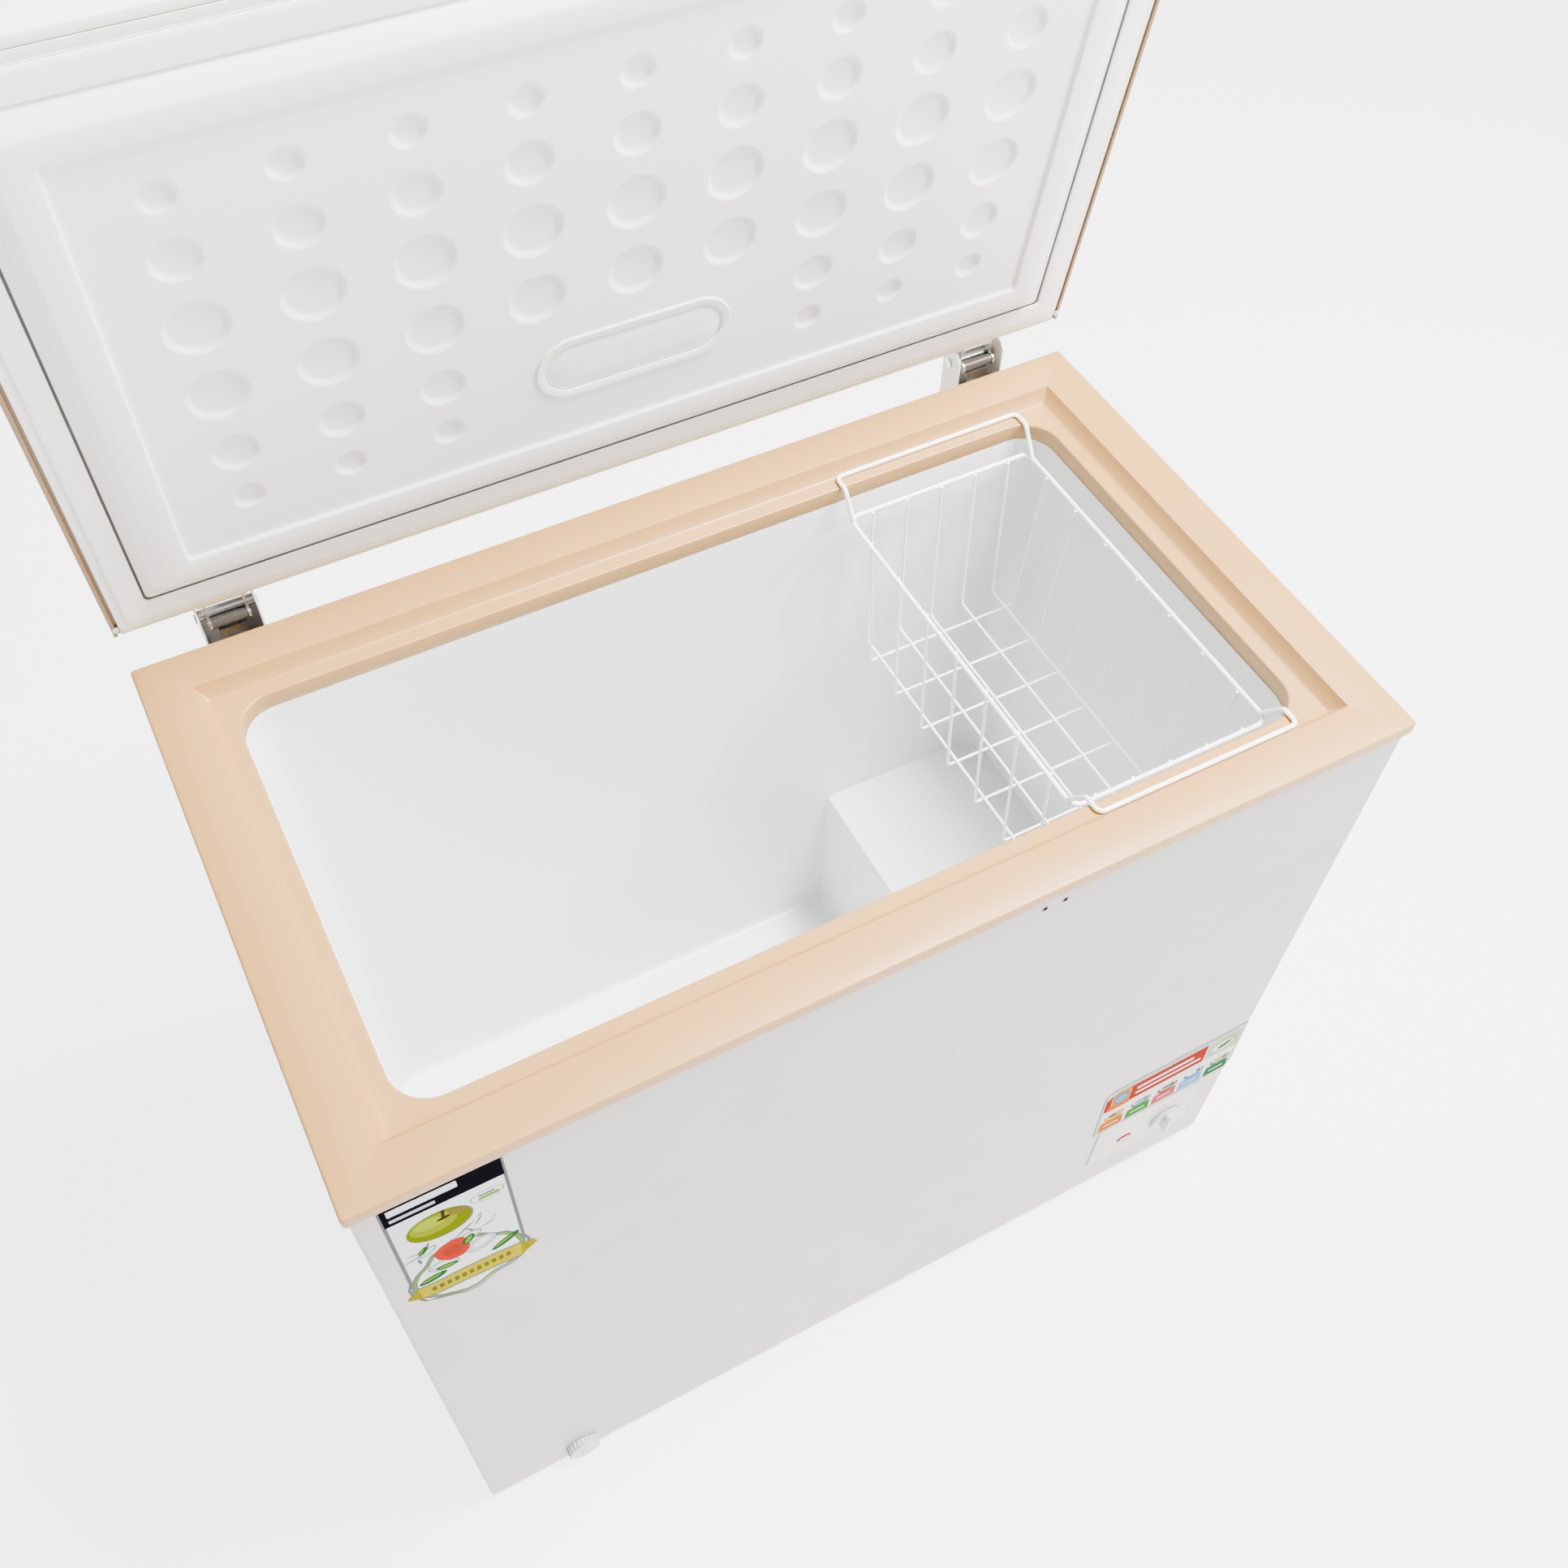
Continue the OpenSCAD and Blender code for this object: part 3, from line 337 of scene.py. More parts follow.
def round_poly(pts, r, n=4):
    """A flat polygon with rounded corners."""
    out = []
    m = len(pts)
    for i in range(m):
        a, b, c = Vector(pts[i - 1]), Vector(pts[i]), Vector(pts[(i + 1) % m])
        u, v = a - b, c - b
        cut = min(r, 0.45 * u.length, 0.45 * v.length)
        p, q = b + u.normalized() * cut, b + v.normalized() * cut
        for k in range(n + 1):
            t = k / n
            w = p * (1 - t) ** 2 + b * 2 * t * (1 - t) + q * t * t
            out.append((w.x, w.y))
    return out


def soften(name, width, segments=3):
    """Rounds the edges of a CAD node that is shown as it is."""
    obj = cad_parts[name]
    mod = obj.modifiers.new("soft_edges", "BEVEL")
    mod.width = width / 1000
    mod.segments = segments
    mod.limit_method = "ANGLE"
    mod.angle_limit = radians(30)
    mod.harden_normals = True


# Cabinet -----------------------------------------------------------------------------------------------


def edge_down(x, y, r, z, out, steps=4):
    """Outlines over a rounded outer edge of radius out: from the side up and onto the top at height z."""
    loops = []
    for i in range(steps + 1):
        t = radians(90 * i / steps)
        g = out * (1 - cos(t))
        loops.append(centred(x - g, y - g, max(r - g, 0.4), z - out + out * sin(t)))
    return loops


def make_collar():
    """The tan ring round the opening, from its outer edge over the top, down the opening and back under."""
    corner = 4
    inner_x, inner_y, inner_r, under = 441, 240, 3, 800.6
    loops = [centred(inner_x, inner_y, inner_r, BODY_TOP),
             centred(COLLAR_X - 0.8, COLLAR_Y - 0.8, corner - 0.6, BODY_TOP),
             centred(COLLAR_X, COLLAR_Y, corner, BODY_TOP + 0.8)]
    loops += edge_down(COLLAR_X, COLLAR_Y, corner, COLLAR_Z, 2.4)
    # A slightly rounded lip, the leaning recess wall with its shallow step, and the ledge
    recess_x, recess_y = 431, 230.7
    for g, z in ((-1.2, 0), (-0.3, -0.3), (0, -1.0), (1.4, -3.4), (1.9, -4.6), (6.9, -12.6), (8.2, -13.7),
                 (9.6, -14.1)):
        loops.append(centred(recess_x - g, recess_y - g, max(0.6, 1.2 + 0.3 * g), COLLAR_Z + z))
    # The opening's rounded lip and the wall below it
    open_x, open_y, open_r, lip = 407.8, 208, 34, 1.8
    for i in range(5):
        t = radians(90 * i / 4)
        g = lip * (1 - sin(t))
        loops.append(centred(open_x + g, open_y + g, open_r + g, LEDGE_Z - lip * (1 - cos(t))))
    loops.append(centred(open_x - 0.4, open_y - 0.4, open_r, TUB_TOP + 0.8))
    loops.append(centred(open_x - 0.1, open_y - 0.1, open_r, TUB_TOP))
    for z in (TUB_TOP, under):
        loops.append(centred(open_x + 2.2, open_y + 2.3, open_r + 2, z))
    loops.append(centred(inner_x, inner_y, inner_r, under))
    piece("collar_ring", *moved(loft(loops, ring=True), cab), TAN, "cabinet", "tan_plastic", ["collar"],
          sharp=40)


def make_tub():
    """The tub narrows a little towards its floor; the step over the machine bay is on the right."""
    step_x, corner, edge_r = 191, 30, 1.2

    def at(z, grow=0.0):
        """Half the tub's width and depth at a height; it flares out just under the collar."""
        t = (TUB_TOP - z) / (TUB_TOP - TUB_FLOOR)
        flare = max(0, 1 - (TUB_TOP - z) / 70) ** 2
        return 403.4 - 6.9 * t + 2.9 * flare + grow, 206 - 3.0 * t + 1.8 * flare + grow

    loops = []
    for g, z in ((2.6, TUB_TOP - 0.2), (0.1, TUB_TOP - 0.25), (0, TUB_TOP - 0.8)):
        x, y = at(TUB_TOP, g)
        loops.append(centred(x, y, 33 + g, z))
    for z in (776, 764, 748, 720, 700, 600, 500, 400, TUB_STEP + 2.5, TUB_STEP + 0.8, TUB_STEP):
        x, y = at(z)
        loops.append(rounded(-x, x - max(0, 1.6 - (z - TUB_STEP)) * 0.8, -y, y, corner, z))
    for edge, z in ((2.6, TUB_STEP), (0.8, TUB_STEP - 0.7), (0, TUB_STEP - 2.4), (0.2, 250), (0.5, 160),
                    (0.8, TUB_FLOOR + 9)):
        x, y = at(z)
        loops.append(rounded(-x, step_x + edge, -y, y, edge_r, z, left_r=corner))
    for g, z in ((0.9, 4.2), (3.2, 1.3), (7.0, 0.0)):
        x, y = at(TUB_FLOOR, -g)
        loops.append(rounded(-x, step_x + 0.8 - g, -y, y, edge_r + g, TUB_FLOOR + z, left_r=corner - g))
    piece("tub_lining", *moved(loft(loops, (False, True)), cab), TUB, "cabinet", "tub_aluminium", ["tub"],
          sharp=38)


def make_tub_marks():
    """A dark ring of painted shade round the drain hole, and a small plug sunk in the back wall."""
    hole_x, hole_y = -362, -185
    ring = [[(hole_x + r * cos(t), hole_y + r * sin(t), TUB_FLOOR + 0.12) for t in around(32)]
            for r in (10.8, 12.2)]
    piece("drain_hole_painted_shade", *moved(loft(ring), cab), PAINTED_SHADE, "cabinet")
    plug_x, plug_y, plug_z = -314.6, 204.65, 282.9
    plug = [[(plug_x + r * cos(t), plug_y - up, plug_z + r * sin(t)) for t in around(24)]
            for r, up in ((3.6, 0.0), (3.4, 0.5), (2.6, 0.75), (0.8, 0.8))]
    piece("wall_plug", *moved(loft(plug, (False, True)), cab), CAP, "cabinet")


def make_outer():
    """Finishes for the CAD nodes that are shown as they are, and soft edges for those that are seen close."""
    for mat, names in (
            (PAINT, "outer_shell rear_panel bay_cover lid_pan"),
            (SHEET, "base_plate bay_wall compressor_tray thermostat_body"),
            (BLACK_PLASTIC, "feet cord_gland relay_cover indicator_holder"),
            (BLACK, "compressor compressor_plate"),
            (RUBBER, "compressor_grommets"),
            (COPPER, "filter_drier bay_pipes condenser_tube"),
            (ALU, "evaporator_tube"),
            (FOAM, "cabinet_foam lid_foam"),
            (PANEL, "control_panel"),
            (KNOB, "thermostat_knob"),
            (RED, "indicator_lens"),
            (CAP, "drain_tube drain_plug drain_cap"),
            (HINGE_WHITE, "hinge_housing_left hinge_housing_right"),
            (GREASE, "lever_sleeves"),
            (ZINC, "foot_screws bay_cover_screws compressor_bolts panel_screws thermostat_shaft lever_pins"),
            (ZINC, "hinge_housing_screws hinge_pins lid_arm_screws"),
            (ZINC, "spring_seat_left spring_seat_right lid_arm_left lid_arm_right")):
        for name in names.split():
            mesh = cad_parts[name].data
            mesh.materials.clear()
            mesh.materials.append(mat)
    soften("drain_cap", 0.35)
    soften("thermostat_knob", 0.7)
    soften("control_panel", 0.8)
    soften("indicator_lens", 0.6)
    soften("feet", 1.0)
    for side in ("left", "right"):
        for name in ("hinge_housing_", "lid_arm_", "spring_seat_"):
            soften(name + side, 0.4, 2)
    soften("lid_pan", 1.6, 4)
    soften("outer_shell", 0.25, 2)


def make_springs():
    """A coil under each hinge, with its end turns closed up; it shortens as the lid pushes its seat down."""
    x, y, low, high, r, wire = 380, 289, 650.3, 793.7, 9.5, 1.5
    turns, closed, steps = 11, 1.0, 24
    for side, name in ((-1, "left"), (1, "right")):
        path = []
        for i in range(turns * steps + 1):
            t = i / steps
            in_closed = min(t, closed) + min(max(t - (turns - closed), 0), closed)
            in_open = min(max((t - closed) / (turns - 2 * closed), 0), 1)
            z = low + wire + in_closed * 2 * wire
            z += (high - low - 2 * wire - 4 * wire * closed) * in_open
            path.append((side * x + r * cos(2 * pi * t), y + r * sin(2 * pi * t), z))
        coil = piece("spring_coil_" + name, *moved(tube(path, wire, 10), cab), SPRING, "cabinet",
                     "spring_steel", ["spring_" + name], sharp=60)
        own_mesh(coil)


def make_lock_holes():
    """Black cups in the two small holes under the collar, which paint the shade inside them."""
    parts = Parts()
    for x in (103.3, 122.6):
        rings = [[(x + r * cos(t), FRONT_Y + y, 787.3 + r * sin(t)) for t in around(24)]
                 for r, y in ((2.9, -0.06), (2.7, -0.3), (1.95, -0.3), (1.95, 3.0), (0.4, 3.2))]
        parts.add(loft(rings, (False, True)))
    piece("lock_hole_painted_shade", *moved(parts.made(), cab), BLACK_PLASTIC, "cabinet", sharp=50)


# Basket ------------------------------------------------------------------------------------------------


def make_basket():
    """A thick rim and two grips that rest on the ledge, with thin wires bent down and across in between."""
    mid_x, rim_x, rim_y, floor_x, floor_y = 286.7, 102.25, 191.5, 87.5, 177.0
    rim, floor, thick, thin = 777.3, 603.0, 2.25, 1.4
    left, right = mid_x - rim_x, mid_x + rim_x
    parts = Parts()
    path = bent([(left, 0, rim), (left, -rim_y, rim), (right, -rim_y, rim), (right, rim_y, rim),
                 (left, rim_y, rim), (left, 0, rim)], 10)
    parts.add(tube(path[:-1], thick, 14, closed=True))
    # The thin wires end inside the rim, and the cross wires pass under the long ones
    top = rim - 0.4
    inset = thick + thin - 0.5
    for k in range(-2, 3):
        x, y = mid_x + 38.7 * k, rim_y - inset
        parts.add(tube(bent([(x, -y, top), (x, -floor_y, floor), (x, floor_y, floor), (x, y, top)], 5),
                       thin, 10))
    under = floor - 2 * thin + 0.35
    for k in range(-3, 4):
        x, y = rim_x - inset, 51.0 * k
        parts.add(tube(bent([(mid_x - x, y, top), (mid_x - floor_x, y, under), (mid_x + floor_x, y, under),
                             (mid_x + x, y, top)], 5), thin, 10))
    rest = LEDGE_Z + thick + 0.15
    for s in (-1, 1):
        half = [(0.6, rim_y - 9, rim + 0.6), (0, 201, rest - 2), (0, 204, rest), (0, 220.5, rest)]
        grip = [(left + g, s * y, z) for g, y, z in half] + [(right - g, s * y, z) for g, y, z in half[::-1]]
        parts.add(tube(bent(grip, 6.5), thick, 14))
    piece("basket_wires", *moved(parts.made(), cab), WIRE, "basket", "coated_wire",
          ["basket_rim", "basket_grips", "basket_long_wires", "basket_cross_wires"], sharp=60)


# Lid ---------------------------------------------------------------------------------------------------

# The dimples' six rows: each row's place and radius. The last two leave out their middle three for the lamp
DIMPLE_ROWS = ((-148.7, 13.0), (-97.1, 18.0), (-36.0, 23.5), (30.9, 23.0), (93.9, 18.0), (145.4, 12.6))
DIMPLE_PITCH = 83.4


def smooth_step(t):
    t = np.clip(t, 0, 1)
    return t * t * (3 - 2 * t)


def panel_height(x, y):
    """How far the recessed panel's face stands back from its flat level, in millimetres."""
    h = np.zeros_like(x)
    for row, (cy, r) in enumerate(DIMPLE_ROWS):
        for k in range(-4, 5):
            if row >= 4 and abs(k) <= 1:
                continue
            d = np.hypot(x - DIMPLE_PITCH * k, y - cy)
            dish = 2.7 * smooth_step((r - d) / 3.1) + 0.9 * (1 - np.clip(d / r, 0, 1) ** 2) * (d < r)
            h = np.maximum(h, dish)
    return h


def make_lining():
    """The lid's inner sheet: outlines from the flange inwards, then a grid for the dimpled panel."""
    n, corner, pitch = 6, 5, 2.0
    # Flange and shoulder
    loops = [rounded(-465.6, 465.6, -261.8, 268, 1.5, 3.4, n), rounded(-466, 466, -255.3, 265.2, 2, 2.9, n),
             rounded(-465.4, 465.4, -254.7, 264.6, 2, 2.2, n),
             rounded(-436.5, 436.5, -229.2, 236.6, 6, 2.2, n)]
    # Sloping side
    for g, z in ((0.0, 2.1), (1.0, 1.2), (2.2, -1.2)):
        loops.append(rounded(-430 + g, 430 - g, -228 + g * 1.1, 229 - g, 8, z, n))
    for t in (0.5, 0.9):
        loops.append(rounded(-428 + 7 * t, 428 - 7 * t, -226 + 11 * t, 227 - 7 * t, 9, -1.2 - 5.6 * t, n))
    # Border, and the step up to the recessed panel
    loops.append(rounded(-419.4, 419.4, -213.4, 218.4, 10, -8.0, n))
    loops.append(rounded(-417.6, 417.6, -211.6, 216.6, 10, -8.4, n))
    for g, z in ((-1.6, -8.4), (-0.6, -8.15), (0.4, -6.9), (1.2, -5.75), (2.2, PANEL_Z)):
        loops.append(rounded(-395.2 + g, 395.2 - g, -191.5 + g, 195.8 - g, corner, z, n))
    parts = Parts()
    parts.add(loft(loops))
    # The grid
    x0, x1, y0, y1 = -393.0 + corner, 393.0 - corner, -189.3 + corner, 193.6 - corner
    nx, ny = int((x1 - x0) / pitch), int((y1 - y0) / pitch)
    gx, gy = np.meshgrid(np.linspace(x0, x1, nx + 1), np.linspace(y0, y1, ny + 1))
    grid = np.stack([gx, gy, PANEL_Z + panel_height(gx, gy)], -1).reshape(-1, 3).tolist()
    w = nx + 1
    faces = [(j * w + i, j * w + i + 1, (j + 1) * w + i + 1, (j + 1) * w + i)
             for j in range(ny) for i in range(nx)]
    parts.add((grid, faces))
    # The flat strip between the last outline and the grid: a fan at each corner and a band along each side
    verts = loops[-1] + [(x1, y1, PANEL_Z), (x0, y1, PANEL_Z), (x0, y0, PANEL_Z), (x1, y0, PANEL_Z)]
    faces = []
    q, c = n + 1, 4 * (n + 1)
    for k in range(4):
        for i in range(n):
            faces.append((k * q + i, k * q + i + 1, c + k))
        faces.append((k * q + n, (k * q + n + 1) % c, c + (k + 1) % 4, c + k))
    parts.add((verts, faces))
    piece("lid_inner_lining", *moved(parts.made(), lid), LINING, "lid", "lining_plastic", ["lid_lining"],
          sharp=45)


def make_gasket():
    """A soft strip round the lid: an outer fin, a bead, a shallow groove and the lip over the lining."""
    n = 6
    x0, x1, y0, y1 = -458, 458, -253.3, 259.7
    # The strip is 19.5 wide at the sides, 24 at the front and 21 at the back
    loops = []
    for g, z in ((0.6, 2.2), (0.0, 1.9), (0.0, 1.2), (1.2, 0.6), (4.0, 0.5), (13.5, 0.5), (17.4, 0.6),
                 (18.9, 1.0), (19.5, 1.7), (19.5, 2.2)):
        front = g * (24.0 / 19.5) if g > 4 else g
        back = g * (21.0 / 19.5)
        loops.append(rounded(x0 + g, x1 - g, y0 + front, y1 - back, 3.0, z, n))
    piece("lid_seal", *moved(loft(loops, ring=True), lid), GASKET, "lid", "gasket_vinyl", ["lid_gasket"],
          sharp=50)
    # A dark strip of painted shade where the seal meets the lining
    outer, inner = (-438.4, 438.4, -229.3, 238.6), (-436.2, 436.2, -228.9, 236.4)
    gap = [rounded(*outer, 5, 1.9, n), rounded(*inner, 5, 1.95, n), rounded(*inner, 5, 2.15, n),
           rounded(*outer, 5, 2.15, n)]
    piece("lid_seal_painted_shade", *moved(loft(gap, ring=True), lid), PAINTED_SHADE, "lid", "gasket_vinyl")


def sweep_x(profile, x1, end=0.8):
    """A (y, z) outline drawn along x from -x1 to x1, with slightly drawn-in ends."""
    cy = sum(p[0] for p in profile) / len(profile)
    cz = sum(p[1] for p in profile) / len(profile)

    def shrunk(g):
        out = []
        for y, z in profile:
            d = hypot(y - cy, z - cz) or 1
            out.append((y - (y - cy) / d * g, z - (z - cz) / d * g))
        return out

    stops = ((-x1, end), (-x1 + end, 0), (x1 - end, 0), (x1, end))
    return loft([[(x, y, z) for y, z in shrunk(g)] for x, g in stops], (True, True))


def sweep_y(profile, s, y0, y1):
    """An (x, z) outline on side s of the lid, drawn along y."""
    return loft([[(s * x, y, z) for x, z in profile] for y in (y0, y1)], (True, True))


def make_lid_rims():
    """The pale front strip with its groove, and on each side a tan trim with a small clip."""
    front_y, nose_y, back_y, low = -271.3, -262.2, 272.7, 2.5
    strip = round_poly([(front_y, low), (-265.4, low), (-265.0, 3.6), (-262.4, 3.6), (-262.4, 36),
                        (-268.3, 36), (front_y, 32)], 1.2)
    piece("lid_front_strip", *moved(sweep_x(strip, 468.4), lid), RIM, "lid", "rim_plastic", ["lid_front_rim"],
          sharp=40)
    groove = round_poly([(-262.4, 3.3), (-262.3, 2.3), (-256.4, 2.3), (-256.4, 3.3)], 0.3)
    piece("lid_front_groove", *moved(sweep_x(groove, 465), lid), RIM, "lid", "rim_plastic", sharp=40)
    trim = round_poly([(BODY_X, low), (COLLAR_X, low), (COLLAR_X, 33), (469.5, 36), (452, 36), (452, 34),
                       (BODY_X, 34)], 0.9)
    nose = round_poly([(BODY_X, low), (COLLAR_X, low), (COLLAR_X, 33), (469.9, 35.6), (BODY_X, 35.6)], 0.9)
    web = [(465.6, 5.2), (469.2, 5.2), (469.2, 6.2), (465.6, 6.2)]
    for s, tag in ((-1, "left"), (1, "right")):
        parts = Parts()
        parts.add(sweep_y(trim, s, nose_y, back_y))
        parts.add(sweep_y(nose, s, front_y, nose_y))
        parts.add(sweep_y(web, s, nose_y, back_y - 0.1))
        # Each trim and its web take the darker tan: painted shade on the lid's sides and the trim's inner wall
        piece("lid_side_trim_" + tag, *moved(parts.made(), lid), TAN_SHADED, "lid", "tan_plastic",
              ["lid_trim_" + tag], sharp=40)
        # The small clip that locks the trim's rear end
        clip = loft([rounded(s * 469 - 2.4, s * 469 + 2.4, 261, 267, 1.0, z, 3) for z in (3.0, 1.9)],
                    (True, True))
        piece("lid_trim_clip_" + tag, *moved(clip, lid), CAP, "lid", "white_plastic", sharp=40)


def stadium(long, high, z, n=16):
    """An outline with two round ends about the lamp's middle."""
    r = high / 2
    pts = []
    for side, start in ((1, -90), (-1, 90)):
        for i in range(n + 1):
            t = radians(start + 180 * i / n)
            pts.append((side * (long / 2 - r) + r * cos(t), LAMP_Y + r * sin(t), PANEL_Z + z))
    return pts


def make_lamp():
    """The lamp's raised frame and its slightly domed cover."""
    frame_rows = ((178, 66, 0.3), (177.6, 65.6, -1.4), (176.2, 64.2, -1.9), (163.4, 51.4, -1.9),
                  (162, 50, -1.5), (161.6, 49.6, 0.6), (158.6, 46.6, 0.6), (157.4, 45.4, -0.9),
                  (155.8, 43.8, -0.9), (155.2, 43.2, 0.5))
    piece("lamp_frame", *moved(loft([stadium(*row) for row in frame_rows]), lid), LINING, "lid",
          "white_plastic", ["lamp_bezel"], sharp=35)
    cover_rows = ((157, 45, 0.5), (156, 44, -0.5), (154.6, 42.6, -0.9), (120, 20, -1.2), (104, 4, -1.25))
    piece("lamp_cover", *moved(loft([stadium(*row) for row in cover_rows], (True, True)), lid), LENS, "lid",
          "lamp_lens", ["lamp_lens"], sharp=50)


# Stickers and panel marks ------------------------------------------------------------------------------


def levels(shapes):
    """How many printed layers lie under each shape, so that shapes side by side share a layer."""
    slack = 0.01
    placed = []
    for pts, _ in shapes:
        xs, zs = [p[0] for p in pts], [p[1] for p in pts]
        x0, x1, z0, z1 = min(xs), max(xs), min(zs), max(zs)
        under = [level for a, b, c, d, level in placed
                 if a < x1 - slack and b > x0 + slack and c < z1 - slack and d > z0 + slack]
        placed.append((x0, x1, z0, z1, max(under, default=-1) + 1))
    return [row[4] for row in placed]


def art(name, base, shapes, body, replaces, slot):
    """Flat printed shapes on the front, each a little above those under it. Points are (x, z)."""
    parts, mats = Parts(), []
    for (pts, mat), level in zip(shapes, levels(shapes)):
        if mat not in mats:
            mats.append(mat)
        y = FRONT_Y - (base + LAYER * level)
        parts.add(([(x, y, z) for x, z in pts], [tuple(range(len(pts)))]), mats.index(mat))
    piece(name, *moved(parts.made(), cab), None, body, slot, replaces, smooth=False, mats=mats,
          tags=parts.tags)


def disc(cx, cz, rx, rz, turn=0, n=28):
    """An ellipse turned by some degrees."""
    c, s = cos(radians(turn)), sin(radians(turn))
    return [(cx + rx * cos(t) * c - rz * sin(t) * s, cz + rx * cos(t) * s + rz * sin(t) * c)
            for t in around(n)]


def bar(x0, z0, x1, z1, r):
    """A rectangle with rounded corners."""
    return round_poly([(x0, z0), (x1, z0), (x1, z1), (x0, z1)], r, 5)


def make_feature_sticker():
    """The label low on the right, with plain bars where its printed lines stood."""
    white = ink("white", (0.66, 0.68, 0.65))
    pale = ink("pale_green", (0.34, 0.40, 0.30))
    grey = ink("grey", (0.12, 0.125, 0.12))
    red = ink("red", (0.27, 0.02, 0.014))
    orange = ink("orange", (0.46, 0.09, 0.008))
    gold = ink("gold", (0.42, 0.22, 0.014))
    green = ink("green", (0.035, 0.16, 0.02))
    pink = ink("pink", (0.42, 0.045, 0.07))
    slate = ink("slate", (0.09, 0.13, 0.17))
    dark_green = ink("dark_green", (0.02, 0.10, 0.03))
    sky = ink("sky", (0.10, 0.26, 0.5))
    lime = ink("label_lime", (0.30, 0.38, 0.06))
    bronze = ink("bronze", (0.13, 0.09, 0.035))
    cx, cz, turn, w, h, r = 373.2, 225.8, radians(2.2), 189.0, 112.0, 16.0

    def outline(g):
        """The label's edge, drawn in by g: square at two corners and round at the other two."""
        x, z, q = w / 2 - g, h / 2 - g, r - g
        quarter = [radians(90 * i / 8) for i in range(9)]
        lower_right = [(x - q + q * sin(t), -z + q - q * cos(t)) for t in quarter]
        upper_left = [(-x + q - q * sin(t), z - q + q * cos(t)) for t in quarter]
        return [(-x, -z)] + lower_right + [(x, z)] + upper_left

    def at(pts):
        """From the label's own middle to the front, with the label's slight turn."""
        return [(cx + x * cos(turn) - z * sin(turn), cz + x * sin(turn) + z * cos(turn)) for x, z in pts]

    shapes = [(outline(0), grey), (outline(1.6), white), (outline(3.0), grey), (outline(4.0), white)]
    shapes.append((bar(-86, 47, 84, 52, 2), pale))
    # Banner with a badge, and the pale block at its right
    shapes.append(([(-91, 4), (44, 4), (44, 45), (-78, 45), (-86, 42), (-91, 34)], red))
    shapes.append(([(46, 4), (91, 4), (91, 45), (46, 45)], pale))
    shapes.append((bar(-84, 4, -58, 42, 3), gold))
    shapes.append((bar(-80, 14, -61, 38, 2), slate))
    shapes.append((disc(-70.5, 25, 8.0, 9.5), sky))
    shapes.append(([(-88, 1), (-56, 1), (-58, 12), (-86, 12)], orange))
    # Plain bars on the banner, then a leaf in the pale block
    shapes.append((bar(-50, 27, 26, 33, 1), white))
    shapes.append((bar(-50, 14, 38, 19, 1), white))
    shapes.append((disc(69, 24, 18, 14), lime))
    shapes.append((disc(68, 22, 15, 11), white))
    shapes.append((disc(70, 22, 10, 5, 20), green))
    # Five tabs, each with a small picture over it
    tabs = ((orange, gold, bronze), (green, slate, sky), (pink, bronze, slate), (sky, slate, white),
            (dark_green, slate, lime))
    for i, (tab, a, b) in enumerate(tabs):
        x = -73 + 36.5 * i
        shapes.append(([(x - 16.5, -52), (x + 16.5, -52), (x + 15.5, -29), (x - 15.5, -29)], tab))
        shapes.append((disc(x + 1, -20, 14, 10.5, 4), a))
        shapes.append((disc(x + 1, -17, 11, 7.5, 4), white))
        shapes.append((disc(x, -18, 8, 5, -10), b))
        shapes.append((disc(x + 7, -17, 3.4, 5.2), a))
        shapes.append((bar(x - 10, -42.6, x + 10, -40.2, 0.6), white))
    art("feature_label", FILM, [(at(p), m) for p, m in shapes], "cabinet", ["feature_sticker"],
        "sticker_film")


